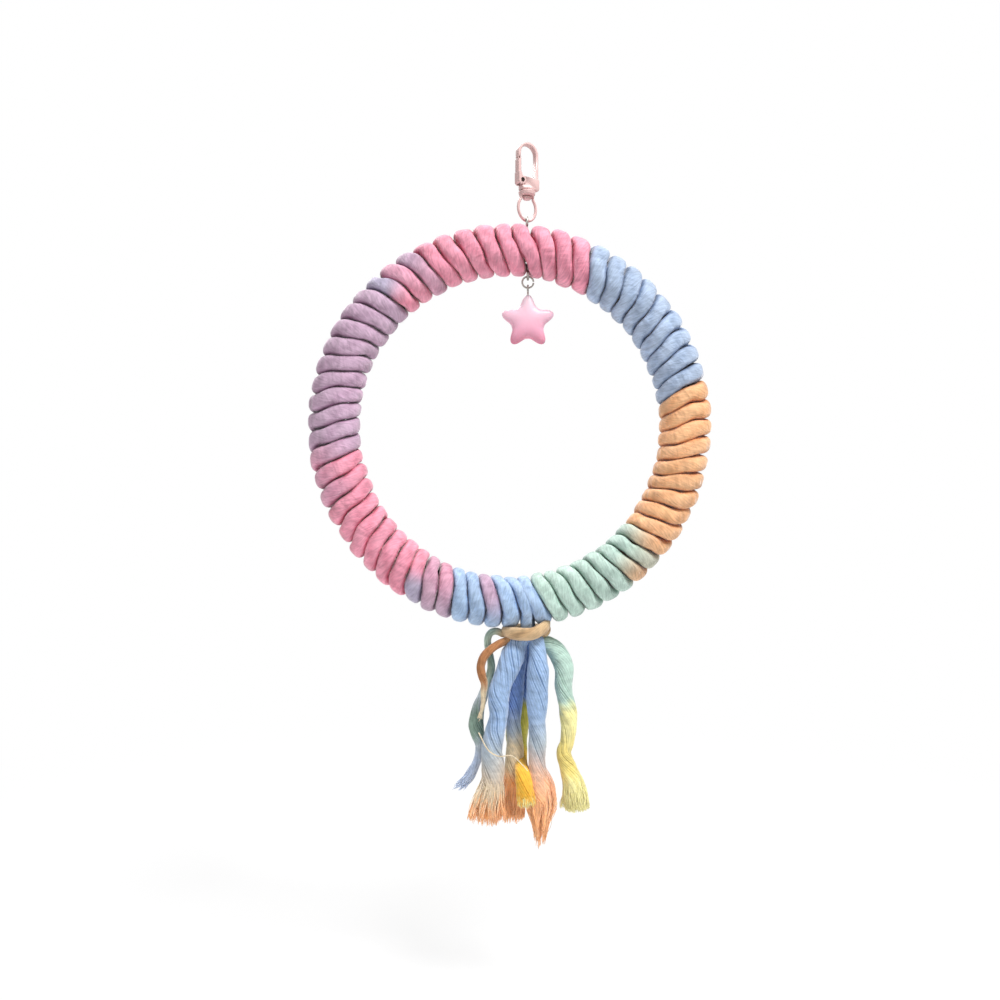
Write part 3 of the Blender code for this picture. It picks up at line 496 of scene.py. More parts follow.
def set_floor():
    """A floor that looks white and keeps the object's shadow."""
    mesh = bpy.data.meshes.new("floor")
    corners = ((-1, -1), (1, -1), (1, 1), (-1, 1))
    points = [(FLOOR_REACH * x, FLOOR_REACH * y, FLOOR_Z) for x, y in corners]
    mesh.from_pydata(points, [], [(0, 1, 2, 3)])
    floor = add_object("floor", mesh)
    s = Shader("floor_paper", base_color=(0.9, 0.9, 0.9, 1), roughness=0.9, specular_ior_level=0.0)
    place = s.node("TexCoord").outputs["Object"]
    away = s.node("VectorMath", {"operation": "LENGTH"}, i0=place).outputs["Value"]
    fade = s.between(away, FLOOR_GLOW, 1.0, *FLOOR_FADE, kind="SMOOTHSTEP")
    share = s.math("MULTIPLY", seen_directly(s.tree), fade)
    glow = s.node("Emission").outputs[0]
    mix = s.node("MixShader", i0=share, i1=s.main.outputs[0], i2=glow)
    s.tree.links.new(mix.outputs[0], s.tree.nodes["Material Output"].inputs["Surface"])
    mesh.materials.append(s.material)


def add_light(name, place, size, power):
    """A round lamp that faces the middle of the object."""
    data = bpy.data.lights.new(name, "AREA")
    data.shape = "DISK"
    data.size = size
    data.energy = power
    light = add_object(name, data)
    light.location = place
    way = np.array(STAGE_MIDDLE) - np.array(place)
    light.rotation_euler = (math.acos(-way[2] / np.linalg.norm(way)), 0,
                            math.atan2(way[1], way[0]) - math.pi / 2)


def set_stage():
    """Camera, surroundings, floor and lamps."""
    bpy.context.scene.view_settings.view_transform = "Standard"
    set_camera()
    set_world()
    set_floor()
    for name, lamp in LAMPS.items():
        add_light(name, *lamp)


# Rope winding

def rope_radius(turns):
    """The solid's own rope radius, which fills the hoop with turns that lean."""
    around = TAU * turns
    slope = 1 + FRONT_LEAN * math.pi * np.sin(around)
    pitch = PITCH_ANGLE * (HOOP_RADIUS + ROPE_MIDDLE * np.cos(around))
    tilt = np.arctan2(pitch * slope, TAU * ROPE_MIDDLE)
    return (pitch * np.cos(tilt) - TURN_GAP) / 2


def eye_crossing():
    """Angle and turn at which the rope passes the top screw eye, just before it crosses the front."""
    top = math.asin(HOOP_OFFSET / (HOOP_RADIUS + ROPE_MIDDLE))
    crossing = TAU + top - (rope_radius(0.0) + EYE_ROOM) / (HOOP_RADIUS + ROPE_MIDDLE)
    return crossing, round((crossing - START_ANGLE) / PITCH_ANGLE)


def even_angle(turns):
    """The solid's own hoop angle after so many turns."""
    crossing, crossing_turn = eye_crossing()
    lean = FRONT_LEAN * (1 - np.cos(TAU * turns)) / 2
    step = smoothstep(2 * (turns - crossing_turn))
    return crossing + PITCH_ANGLE * (turns - crossing_turn + lean) + step * SPREAD / HOOP_RADIUS


def winding_angle(turns):
    """The same, with the turns crowded on one side of the hoop and slack on the other."""
    angle = even_angle(turns)
    places, pushes = np.array(CROWDING).T
    near = np.degrees(angle)[..., None] % 360 + np.linspace(-9, 9, 7)
    return angle + np.radians(np.interp(near, places, pushes, period=360).mean(axis=-1))


def rope_sway(turns):
    """Sideways drift of the soft turns: S bends that run on from turn to turn, first turns that lean
    over the rope's start, and turns drawn in to the screw eyes."""
    sway = 0 * turns
    for reach, bends, drift, pace, seed in SWAYS:
        sway = sway + reach * np.sin(TAU * bends * turns + drift * wander(turns * pace, seed))
    for turn in range(LEANING_TURNS):
        sway -= FOOT_LEAN * LEAN_LEFT ** turn * np.exp(-((turns - turn - 0.2) / 0.22) ** 2)
    past = turns - eye_crossing()[1] - QUARTER
    away = np.abs(past)
    fading = np.exp(-(np.maximum(away - 0.7, 0) / EYE_PULL_TURNS) ** 2)
    drawn = smoothstep((away - 0.28) / 0.2) * fading
    return sway - EYE_PULL * np.sign(past) * drawn


def rope_angle(turns):
    """Hoop angle of the soft rope's middle line after so many turns."""
    return winding_angle(turns) + rope_sway(turns) / HOOP_RADIUS


def beside_link(turns):
    """1 on the hoop's inner side at the screw eyes, where the jump ring swings, and 0 away from there."""
    past = turns - eye_crossing()[1] - QUARTER
    return smoothstep((-np.cos(TAU * turns) - 0.3) / 0.4) * np.exp(-(past / 0.9) ** 2)


def half_widths(turns):
    """Room to the turn before and to the turn after, as shares of the even room.  A turn swells only
    so far."""
    here = rope_angle(turns)
    before, after = [np.abs(here - rope_angle(turns + way)) / PITCH_ANGLE for way in (-1, 1)]
    most = MOST_SWOLLEN - LINK_WIDTH_ROOM * beside_link(turns)
    return np.minimum(before, most), np.minimum(after, most)


def hoop_point(angle, out=0.0, y=0.0):
    """The point at an angle round the hoop, so far outside its middle line and behind its plane."""
    reach = HOOP_RADIUS + out + 0 * angle
    return np.stack([-HOOP_OFFSET + reach * np.sin(angle), y + 0 * reach,
                     HOOP_Z + reach * np.cos(angle)], axis=-1)


# Runs of dye round the hoop: where each ends, in degrees clockwise from the top, then the colour on
# the hoop's outer half and on its inner half
DYE_RUNS = [
    (28.8, PINK, PINK), (78.6, PALE_BLUE, PALE_BLUE), (128.5, PEACH, PEACH), (134, PEACH, MINT),
    (139, PEACH * 0.3 + MINT * 0.7, MINT), (144, PEACH, MINT), (172, MINT, MINT), (184, BLUE, BLUE),
    (189, BLUE, LILAC), (199.5, BLUE, BLUE), (204.5, LILAC, PINK * 0.6 + LILAC * 0.4),
    (209, LILAC, PINK * 0.4 + LILAC * 0.6), (213.5, DUSK, PINK), (248, PINK, PINK), (258, ROSE, PINK),
    (264, ROSE, LILAC), (317, LILAC, LILAC), (323, DUSK, PINK),
    (328.5, PINK * 0.5 + LILAC * 0.5, PINK), (334, LILAC, PINK * 0.4 + LILAC * 0.6),
    (360, PINK, PINK)]


def turn_dye(whole, share):
    """Colour of a whole turn, from the run that its front lies in; share runs from the hoop's inner
    half to its outer half."""
    front = np.degrees(winding_angle(whole + QUARTER)) % 360
    run = np.searchsorted([run[0] for run in DYE_RUNS[:-1]], front)
    outer, inner = [np.array([r[k] for r in DYE_RUNS])[run] for k in (1, 2)]
    tone = 0.965 + 0.06 * wander(whole + 0.5, 11)
    return (inner + (outer - inner) * share[:, None]) * tone[:, None]


def winding_dye(turns):
    """Colour of each ring of the rope; one turn's dye runs into the next behind the hoop."""
    whole = np.floor(turns + QUARTER)
    share = (1 + np.cos(TAU * turns)) / 2 + 0.22 * wander(turns * 3.1, 5)
    share = smoothstep((share - 0.12) / 0.76)
    late = smoothstep((turns + QUARTER - whole - 0.78) / 0.22)[:, None]
    colour = turn_dye(whole, share) * (1 - late) + turn_dye(whole + 1, share) * late
    return (colour * (1 + 0.03 * wander(turns * 2.3, 12))[:, None])[:, None]


def rope_line():
    """Centre, outward normal, radius and turn count along the whole rope, its two ends included."""
    first = END_TANGENT / TAU
    last = TURNS - first
    turns = np.linspace(first, last, round((last - first) * ROPE_STEPS) + 1)
    radius = rope_radius(turns)
    out = (CANE_RADIUS + SEAT_GAP + radius) * STAND_OFF + UNEVEN * wander(turns * 3.1, 22)
    out -= LINK_ROOM * beside_link(turns)
    angle = rope_angle(turns)
    points = hoop_point(angle, out * np.cos(TAU * turns), -out * np.sin(TAU * turns))
    normals = points - hoop_point(angle)
    share = np.linspace(0, 1, END_STEPS + 1)[1:, None]
    ends = []
    for end, way in zip((0, -1), END_WAYS):
        straight = unit(np.array(way)) * END_LENGTH
        ends.append(points[end] + straight * share)
    neck = TAIL_SIZES["tail_blue_left"][0][1] * MM
    thin = neck + (radius[0] - neck) * (1 - smoothstep((share[:, 0] - 0.5) / 0.5))
    line = np.vstack([ends[0][::-1], points, ends[1]])
    size = np.concatenate([thin[::-1], radius, thin])
    spare = (END_STEPS, END_STEPS)
    return (line, np.pad(normals, (spare, (0, 0)), mode="edge"), size, np.pad(turns, spare, mode="edge"))


def add_fuzz(tubes, grid, points, tangents, dye):
    """Short loose fibres that stand off the rope, mostly along its run."""
    rng = np.random.default_rng(71)
    rings = rng.integers(0, len(points), FUZZ_HAIRS)
    places = rng.integers(0, ROPE_SIDES // 2 + 1, FUZZ_HAIRS)
    u = np.linspace(0, 1, 4)[:, None]
    corners = np.radians([0, 120, 240])[None, :]
    for ring, place in zip(rings, places):
        base = grid[ring, place]
        off = unit(base - points[ring])
        run = tangents[ring] * rng.choice((-1, 1))
        reach = rng.uniform(*FUZZ_REACH) * MM
        rise = rng.uniform(*FUZZ_RISE)
        line = base - 0.1 * MM * off + reach * (u * run + rise * u * (1 - 0.5 * u) * off
                                                + 0.3 * rng.uniform(-1, 1) * u * u * np.cross(run, off))
        size = FUZZ_RADIUS * (1 - 0.6 * u)
        side = np.cross(run, off)
        section = np.cos(corners)[..., None] * off + np.sin(corners)[..., None] * side
        # painted highlight: the hairs are paler than the rope they stand off
        tubes.add(line[:, None] + size[..., None] * section, (1 - FUZZ_WHITE_HIGHLIGHT) * dye[ring, 0] + FUZZ_WHITE_HIGHLIGHT)


def build_rope(material):
    """The winding: one soft three-strand rope round the hoop, and its fuzz."""
    points, out_way, radius, turns = rope_line()
    along = lengths(points)
    run = along[:, None]
    tangents = unit(np.gradient(points, axis=0))
    normals = unit(out_way - tangents * np.sum(out_way * tangents, axis=1, keepdims=True))
    sides = np.cross(tangents, normals)
    angle = np.linspace(0, TAU, ROPE_SIDES, endpoint=False)[None, :]
    cos, sin = np.cos(angle), np.sin(angle)

    # depth of the grooves between the strands, as a share of the radius
    strand = angle - TAU * run / LAY_LENGTH + 0.5 * wander(run / (18 * MM), 31)
    valley = np.abs(np.sin(1.5 * strand))
    depth = GROOVE * (1 + 0.5 * wander(run / (11 * MM), 32))
    lump = 0.018 * wander(run / (6 * MM) + 3 * sin, 33)
    share = 1 - depth * valley ** 5 - 0.25 * depth * valley ** 2 + lump

    # width of each turn up to its two neighbours
    rng = np.random.default_rng(36)
    pinch = 0 * turns
    for place, much in zip(rng.uniform(1, TURNS - 1, PINCHES), rng.uniform(0.06, 0.20, PINCHES)):
        pinch = pinch + much * np.exp(-((turns - place) / 0.05) ** 2)
    room = (radius + TURN_GAP / 2)[:, None] * (1 - pinch)[:, None]
    before, after = [room * part[:, None] - CREVICE / 2 for part in half_widths(turns)]
    onward = hoop_point(rope_angle(turns) + 0.01) - hoop_point(rope_angle(turns))
    facing = np.sign(np.sum(sides * onward, axis=1))[:, None]
    wide = np.where(cos * facing > 0, after, before) * (0.5 + 0.5 * share)
    across = wide * np.sign(cos) * np.abs(cos) ** BOXY

    # height, a little less where the rope lies on the cane
    plump = PLUMP * (1 + 0.035 * wander(turns * 3.7, 34))[:, None] * share
    out = radius[:, None] * plump * np.sign(sin) * np.abs(sin) ** FLAT_TOP
    out = np.where(out < 0, out * 0.94, out)
    grid = swept(points, normals, sides, across, out)

    # colours: painted shade, deeper, between turns and strands, and a painted highlight, paler, on the
    # crest of each turn
    yarn = yarn_places(along, angle + 0 * run, radius, YARN_LENGTH)
    # painted shade: darker dye in the crevices between turns and, less, in the grooves between strands
    crevice_shade = smoothstep((np.abs(cos) - 0.66) / 0.34)
    shade = np.minimum(0.95 * crevice_shade + 0.25 * valley ** 6, 1)
    # painted highlight: the crest of each turn is mixed towards white
    crest_highlight = CREST_HIGHLIGHT * smoothstep((sin - 0.35) / 0.65) * (1 + 0.6 * wander(run / (4 * MM), 37))
    dye = winding_dye(turns)
    tubes = Tubes()
    tubes.add(grid, dye + (1 - dye) * crest_highlight[..., None], yarn, shade)
    rope = tubes.piece("winding", material, "perch")
    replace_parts(rope, "rope_wrap")
    fuzz = Tubes()
    add_fuzz(fuzz, grid, points, tangents, dye)
    fuzz.piece("winding_fuzz", material, "perch")
    return points


# Tassel

# Routes of the tie and of the tails, in millimetres from the foot of the winding
BAND_ROUTE = [(8.4, 0.5, 6), (9, -4, 1.8), (7.4, -8.2, 0.2), (2, -10.4, -2), (-4.8, -9.2, -2.2),
              (-9.4, -3.5, -2.4), (-9.4, 4, -2.8), (-6, 11, -3.2), (-0.6, 13.6, -3.4), (5.4, 10.6, -3.2),
              (8.6, 5, -3), (9.2, 0.6, -2.2), (8.6, -2.8, -1)]
TAIL_ROUTES = {
    "tail_blue_left": [
        (-4.6, -3.4, -8), (-7, -5, -13), (-9.6, -6, -20), (-13.8, -6, -31), (-14.3, -5.6, -43.5),
        (-16.2, -5, -52), (-17.6, -4.5, -60), (-16.9, -4.2, -69), (-17.6, -4, -78),
        (-19.3, -4, -87), (-19.8, -4, -94)],
    "tail_mint_yellow": [
        (6.8, 1.2, -7.5), (11, 0.2, -9.2), (15.5, -1, -13), (18.3, -2, -19.7), (18, -2.5, -28),
        (18.7, -2.5, -33), (20.1, -2.5, -40), (20.6, -2.5, -49), (19.7, -2.5, -57),
        (18.2, -2.5, -62), (20.4, -2.5, -70), (23, -2.5, -78), (24.4, -2.5, -90)],
    "tail_blue_right": [
        (4.6, -3.4, -2.6), (4.8, -4.2, -8), (5.2, -5.8, -14), (5.2, -6.6, -20), (4.9, -6.5, -32),
        (4.7, -6, -44), (5.2, -6, -53), (4.9, -6, -61), (5, -6, -69.5), (6, -6, -78),
        (6.6, -6, -86), (6.2, -6, -98.6)],
    "tail_blue_middle": [
        (-3.5, 3, -2.6), (-3.8, 3.4, -8), (-5, 5, -18), (-6.2, 5, -28), (-6.6, 4.6, -40),
        (-6.8, 4.2, -49), (-6, 4.2, -60), (-6.4, 3.8, -72), (-7.4, 3, -84), (-8.2, 2.4, -95)],
    "tail_olive_back": [
        (-1.2, 8.6, -2.1), (-0.8, 9, -8.6), (1.4, 12, -17.6), (0, 13, -31.6), (-2, 13.4, -43.6),
        (-5, 12.6, -57), (-4, 8, -66), (-3, 1, -69.5), (-2.4, -7, -71.5), (-1.6, -10.2, -76),
        (0, -10.8, -85)],
    "tail_sage_left": [
        (-9.8, -2.2, -4.4), (-12.8, -2, -2.9), (-15.2, -2, -1.9), (-17.9, -2.4, -2.5),
        (-19.6, -2.6, -5.4), (-19.4, -2, -10), (-18.2, -1.4, -15.6), (-18, -0.6, -21.4),
        (-20, 0.5, -28), (-22, 1.5, -34.6), (-24.2, 1.8, -40.4), (-25.4, 2, -48), (-25, 2.4, -53),
        (-23.8, 3, -58), (-24, 3.5, -63), (-25.2, 4, -68.6), (-28.6, 4.2, -75.2), (-33, 4, -79.5)],
    "tail_rust_left": [
        (-6, -3.2, -5.8), (-10.4, -4.6, -6.4), (-14.5, -6.4, -7.8), (-18.7, -7.6, -10.6),
        (-21.6, -8, -13.9), (-23, -7.6, -18.5), (-22.4, -7, -23), (-21.2, -6.4, -27.2),
        (-21.6, -5.6, -32), (-21.9, -5, -38), (-23.6, -4.6, -44.5)],
}
# Radius of each tail by depth below the winding, in millimetres
TAIL_SIZES = {
    "tail_blue_left": [
        (4, 3.2), (8, 4.8), (13, 5.8), (20, 5.4), (32, 5.3), (44, 4.5), (53, 4.9), (61, 5.4)],
    "tail_mint_yellow": [
        (4, 3.2), (8, 3.8), (12, 4.6), (20, 5.4), (28, 4.9), (34, 4.3), (40, 4.6), (49, 3.9),
        (58, 3.7), (64, 4.0), (70, 4.5), (76, 5.0)],
    "tail_blue_right": [
        (3, 3.2), (6, 3.6), (10, 4.4), (20, 5.7), (32, 5.6), (44, 4.5), (53, 4.3), (70, 4.6),
        (78, 5.6)],
    "tail_blue_middle": [
        (3, 3.0), (8, 3.6), (18, 4.8), (34, 4.7), (44, 4.0), (49, 3.7), (56, 4.0), (70, 4.6)],
    "tail_olive_back": [
        (2, 2.8), (10, 3.4), (20, 4.2), (40, 4.8), (56, 6.4), (64, 5.4), (69, 3.6), (74, 4.2)],
    "tail_sage_left": [
        (4, 1.9), (22, 2.0), (30, 2.3), (42, 3.0), (50, 4.0), (56, 3.4), (61, 2.1), (75, 2.2)],
    "tail_rust_left": [(6, 2.1), (22, 2.1), (30, 1.8), (37, 1.2), (45, 0.9)],
}
LED_BY_ROPE = {"tail_blue_left": 0, "tail_mint_yellow": -1}  # tails that carry on the rope's ends
TIE_ENDS = ("tail_sage_left", "tail_rust_left")  # tails that start in the tie's own tan
TIE_TINT = 9 * MM               # length over which that tan fades

# Dye along each tail: depth below the winding in millimetres, then colour
TAIL_DYES = {
    "tail_blue_left": [
        (0, TAIL_BLUE), (48, TAIL_BLUE), (62, GREY), (74, BEIGE), (82, CREAM), (90, ORANGE)],
    "tail_mint_yellow": [
        (0, MINT), (36, MINT), (43, YELLOW), (50, YELLOW), (60, WARM_YELLOW), (70, WARM_YELLOW),
        (76, YELLOW)],
    "tail_blue_right": [
        (0, TAIL_BLUE), (42, TAIL_BLUE), (56, GREY), (66, MAUVE), (76, SALMON), (90, ORANGE)],
    "tail_blue_middle": [
        (0, DEEP_BLUE), (42, DEEP_BLUE), (54, GREY), (61, CREAM), (71, CREAM), (79, ORANGE)],
    "tail_olive_back": [
        (0, DEEP_BLUE), (36, DEEP_BLUE), (41, OLIVE), (64, OLIVE), (70, OCHRE), (82, OCHRE),
        (86, YELLOW)],
    "tail_sage_left": [
        (0, SAGE), (6, SAGE), (16, DARK_SAGE), (26, SAGE), (36, GREY), (44, DARK_SAGE),
        (54, DARK_SAGE), (60, GREY), (68, PALE_TIP)],
    "tail_rust_left": [(0, RUST), (25, RUST), (32, CREAM)],
}
# Frayed end of each tail: yarns, how far up they start, their reach past the end, half the tuft's
# width at its belly and at its tip, and half its depth, in millimetres
TAIL_FRAYS = {
    "tail_blue_left": (760, 20, 4, 7.6, 10.0, 6.0), "tail_mint_yellow": (640, 15, 2, 6.5, 8.5, 5.0),
    "tail_blue_right": (760, 27, 9, 8.6, 4.0, 5.4), "tail_blue_middle": (640, 20, 4, 7.0, 8.0, 5.0),
    "tail_olive_back": (420, 9, 2, 4.6, 4.8, 3.4), "tail_sage_left": (200, 14, 5, 2.4, 3.2, 2.0),
    "tail_rust_left": (30, 8, 2, 0.9, 1.0, 0.9),
}
# Loose threads: the tail that each belongs to, its colour, its radius and its route, in millimetres
STRAY_THREADS = [
    ("tail_blue_left", CREAM, 0.32, [(-24, -7.5, -51), (-19.4, -10, -58.7), (-14, -11.4, -61.5),
                                     (-7.7, -12, -61.1), (-2.2, -12.4, -65.8), (0, -12, -68.5)]),
    ("tail_blue_right", BEIGE, 0.16, [(7.5, -8, -84), (11.4, -7.5, -90), (11.8, -7, -96),
                                      (9.2, -7, -101.5)]),
]
YARN_RADIUS, YARN_CORNERS = 0.17 * MM, 4  # of a loose yarn's section
YARN_STEPS, THREAD_STEPS, TAIL_STEPS = 12, 40, 110
CLUMPS = 10                     # groups of yarns that lean together in a frayed end
BAND_STEPS, BAND_SIDES = 160, 32
BAND_LAY, BAND_YARN = 34 * MM, 60 * MM  # one full twist of the tie's strands and of its yarns
BAND_WIDTH, BAND_HEIGHT = 0.85, 1.2  # of the pressed tie, as shares of a round one
RIDGES = 22                     # yarns that show round a tail
TAIL_TWIST = 58.0 * MM          # one full twist of a tail's yarns
NO_TWIST = 1e9                  # a twist too long to show


def from_foot(route):
    """Points of a route that is given in millimetres from the winding's foot."""
    return [np.array([0, 0, WINDING_FOOT]) + np.array(place) * MM for place in route]


def dye_along(share, stops):
    """Colours at given places between stops of place and colour."""
    places = [p for p, _ in stops]
    return np.stack([np.interp(share, places, [c[k] for _, c in stops]) for k in range(3)], axis=-1)


def depth_of(points):
    """Depth below the winding, in millimetres."""
    return (WINDING_FOOT - points[..., 2]) / MM


def tail_line(name, rope):
    """Middle line of a tail, the distance along it and its radius."""
    places = from_foot(TAIL_ROUTES[name])
    if name in LED_BY_ROPE:
        end = LED_BY_ROPE[name]
        places = [rope[end] + unit(np.array(END_WAYS[end])) * SEAT_GAP] + places
    points, along = smooth_route(places, TAIL_STEPS)
    return points, along, MM * np.interp(depth_of(points), *np.array(TAIL_SIZES[name]).T)


def build_tail(name, seed, rope, material):
    """A tail of twisted yarns with clefts between them, and its frayed end."""
    points, along, radius = tail_line(name, rope)
    run = along[:, None]
    _, normals, sides = carried_frame(points, (0, -1, 0))
    twist = np.linspace(0, TAU, 4 * RIDGES, endpoint=False)[None, :] + 0 * run
    angle = twist + TAU * run / TAIL_TWIST - 0.35 * wander(run / (13 * MM), seed)
    ridge = np.abs(np.cos(RIDGES / 2 * twist)) ** 0.7
    cleft = np.sin(3 * twist + seed) * np.sin(5 * twist + 2.0 * seed + run / (30 * MM))
    cleft = np.maximum(0, cleft)
    fold = wander(3 * np.cos(twist) + 7 + run / (26 * MM), seed + 1)
    body = radius * (1 + 0.08 * wander(along / (9 * MM), seed + 2))
    loose = TAIL_FRAYS[name][1] * MM
    body = body * (1 - 0.55 * smoothstep((along - along[-1] + 0.8 * loose) / loose))
    if name not in LED_BY_ROPE:
        body = body * np.sqrt(np.clip(along / (2.5 * MM), 0.15, 1))
    groove = (0.024 + 0.11 * cleft) * (1 - ridge)
    size = body[:, None] * (0.97 + 0.05 * fold - groove)
    grid = swept(points, normals, sides, size * np.cos(angle), size * np.sin(angle))
    yarn = yarn_places(along, twist, body, NO_TWIST)
    dye = dye_along(depth_of(points)[:, None] + 2.5 * fold, TAIL_DYES[name])
    # painted light and shade: paler where a fold swells out, darker where it sinks
    dye = dye * (1 + 0.06 * fold[..., None])
    if name in TIE_ENDS:
        dye = dye + (TAN - dye) * (1 - smoothstep(along / TIE_TINT))[:, None, None]
    tubes = Tubes()
    # painted shade: the "shade" attribute darkens the dye between the yarns, most in the clefts
    tubes.add(grid, dye, yarn, (1 - ridge) * (0.28 + 0.8 * cleft))
    tail = tubes.piece(name + "_rope", material, "perch")
    fray = build_fray(name, seed, points, along, normals, sides, body, material)
    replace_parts(tail, name)


def add_yarn(tubes, line, thick, dye, number):
    """One loose yarn: a thin tube along a line, with its own place in the fibre pattern."""
    grid, ring = round_tube(line, (0, -1, 0.1), thick, YARN_CORNERS)
    yarn = yarn_places(lengths(line) + 37 * number * MM, ring + 0 * thick[:, None], thick, 20 * MM)
    tubes.add(grid, dye, yarn)


def build_fray(name, seed, points, along, normals, sides, body, material):
    """Loose yarns that leave the end of a tail and fan out, each a thin tube."""
    count, back, reach, belly, tip, deep = TAIL_FRAYS[name]
    rng = np.random.default_rng(seed + 50)
    tubes = Tubes()
    u = np.linspace(0, 1, YARN_STEPS)
    opened = smoothstep(u / 0.55)[:, None]
    tipped = smoothstep((u - 0.4) / 0.6)[:, None]
    end_way = unit(points[-1] - points[-6])
    clumps = rng.uniform(-1, 1, (CLUMPS, 2))
    for k in range(count):
        place, spoke = math.sqrt(rng.uniform(0.02, 0.96)), rng.uniform(0, TAU)
        start = along[-1] - back * MM * rng.uniform(0.8, 1.2)
        length = along[-1] - start + reach * MM * rng.uniform(-1.0, 1.0) * (1.15 - place * place)
        at = np.minimum(start + u * length, along[-1])
        past = np.maximum(start + u * length - along[-1], 0)
        base = sampled(at, along, points) + past[:, None] * end_way
        n, s = sampled(at, along, normals), sampled(at, along, sides)
        width = 0.95 * np.interp(at, along, body)[:, None]
        own = place * np.array([math.cos(spoke), math.sin(spoke)])
        lean = clumps[np.argmin(np.sum((clumps - own) ** 2, axis=1))]
        full = width + (belly * MM - width) * opened
        across = own[0] * full + ((0.6 * own[0] + 0.4 * lean[0]) * tip * MM - own[0] * full) * tipped
        thick = width + (deep * MM - width) * opened
        forward = own[1] * thick + 0.4 * (lean[1] - own[1]) * deep * MM * tipped
        curl = 0.5 * MM * np.sin(TAU * u * rng.uniform(0.6, 1.4) + rng.uniform(0, TAU)) * u
        line = base + (across + curl[:, None]) * s + forward * n
        dye = dye_along(depth_of(line) + rng.uniform(-5, 5), TAIL_DYES[name])[:, None]
        # each yarn's dye at its own strength, raised on the whole above the tail's: painted light against
        # the shade the yarns cast on one another
        dye = dye * rng.uniform(0.95, 1.25)
        thin = YARN_RADIUS * rng.uniform(0.75, 1.25) * (0.2 + 0.8 * smoothstep(u / 0.2))
        add_yarn(tubes, line, thin * (1 - 0.5 * u ** 4), dye, k)
    taper = 1 - 0.4 * np.linspace(0, 1, THREAD_STEPS) ** 3
    for owner, dye, thickness, route in STRAY_THREADS:
        if owner == name:
            line, _ = smooth_route(from_foot(route), THREAD_STEPS)
            add_yarn(tubes, line, thickness * MM * taper, dye, count)
    return tubes.piece(name + "_fray", material, "perch")


def build_band(material):
    """The tie: a soft two-strand cord round the tassel's neck."""
    points, along = smooth_route(from_foot(BAND_ROUTE), BAND_STEPS)
    _, normals, sides = carried_frame(points, (0, 0, 1))
    angle = np.linspace(0, TAU, BAND_SIDES, endpoint=False)[None, :]
    strand = angle - TAU * along[:, None] / BAND_LAY
    valley = np.abs(np.sin(strand))
    round_off = np.sqrt(np.clip(np.minimum(along, along[-1] - along) / (1.6 * MM), 0.12, 1))
    size = BAND_RADIUS * (1.0 - 0.06 * valley ** 4 + 0.02 * wander(along[:, None] / (5 * MM), 61))
    size = size * round_off[:, None]
    grid = swept(points, normals, sides, BAND_WIDTH * size * np.cos(angle),
                 BAND_HEIGHT * size * np.sin(angle))
    tone = 1 + 0.06 * wander(along / (7 * MM), 62)
    yarn = yarn_places(along, angle + 0 * strand, BAND_RADIUS + 0 * along, BAND_YARN)
    tubes = Tubes()
    # painted shade: the "shade" attribute darkens the dye in the grooves between the strands
    tubes.add(grid, TAN * tone[:, None, None], yarn, 0.4 * valley ** 4)
    band = tubes.piece("tie_cord", material, "perch")
    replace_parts(band, "tie_band")


# Wire links, clasp and star

WIRE_GREY = 0.4
STAR_SIDES, STAR_RINGS = 200, 28  # points round the star and rings on each face
# Colours of the star by height above its middle, as a share of its tip's
STAR_COLOURS = [(-0.85, srgb(214, 130, 154)), (-0.3, srgb(232, 168, 190)), (0.3, srgb(234, 192, 208)),
             (1.0, srgb(230, 212, 220))]


def wire(tubes, points, thickness, sides_count=18):
    """A round wire with its cut ends slightly rounded off."""
    points = np.array(points)
    along = lengths(points)
    edge = thickness * 0.12
    near = np.minimum(along, along[-1] - along)
    size = thickness / 2 * np.where(near < edge / 2, 0.8, 1.0)
    tubes.add(round_tube(points, (0.3, 0.9, 0.2), size, sides_count)[0], WIRE_GREY)


def screw_eye_line(x, loop_z, bore, thickness, tip_z):
    """Middle line of a screw eye: a straight shank that runs into a nearly closed loop."""
    reach = (bore + thickness) / 2
    up = 1 if loop_z > tip_z else -1
    neck = loop_z - up * (reach + thickness)
    loop = [(x, reach * math.cos(a), loop_z + up * reach * math.sin(a))
            for a in np.radians(np.linspace(-52, 232, 17))]
    shank = [(x, 0, z) for z in (tip_z, tip_z + 0.12 * up * thickness, (tip_z + neck) / 2, neck)]
    points, _ = smooth_route(shank + loop, 90)
    return np.vstack([points[:1], points[:1] + (points[1] - points[0]) * 0.2, points[1:-1],
                      points[-1:] - (points[-1] - points[-2]) * 0.2, points[-1:]])


def build_wires(material):
    """The three screw eyes and the jump ring."""
    x = BOTTOM_EYE_X
    eyes = {
        "top_screw_eye": (0.0, TOP_LOOP_Z, TOP_LOOP_BORE, SCREW_WIRE, TOP_EYE_TIP, "perch"),
        "bottom_screw_eye": (x, BOTTOM_LOOP_Z, BOTTOM_LOOP_BORE, SCREW_WIRE, BOTTOM_EYE_TIP, "perch"),
        "star_screw_eye": (x, STAR_LOOP_Z, STAR_LOOP_BORE, STAR_WIRE, STAR_SCREW_END, "star")}
    for name, (eye_x, loop_z, bore, thickness, tip, body) in eyes.items():
        tubes = Tubes()
        wire(tubes, screw_eye_line(eye_x, loop_z, bore, thickness, tip), thickness)
        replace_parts(tubes.piece(name + "_wire", material, body), name)
    reach = (JUMP_DIAMETER - JUMP_WIRE) / 2
    sweep = np.radians(np.concatenate([[6, 7], np.linspace(8, 352, 72), [353, 354]]))
    ring = [(x + reach * math.cos(a), 0, JUMP_Z + reach * math.sin(a)) for a in sweep]
    tubes = Tubes()
    wire(tubes, ring, JUMP_WIRE)
    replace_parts(tubes.piece("jump_ring_wire", material, "link"), "jump_ring")


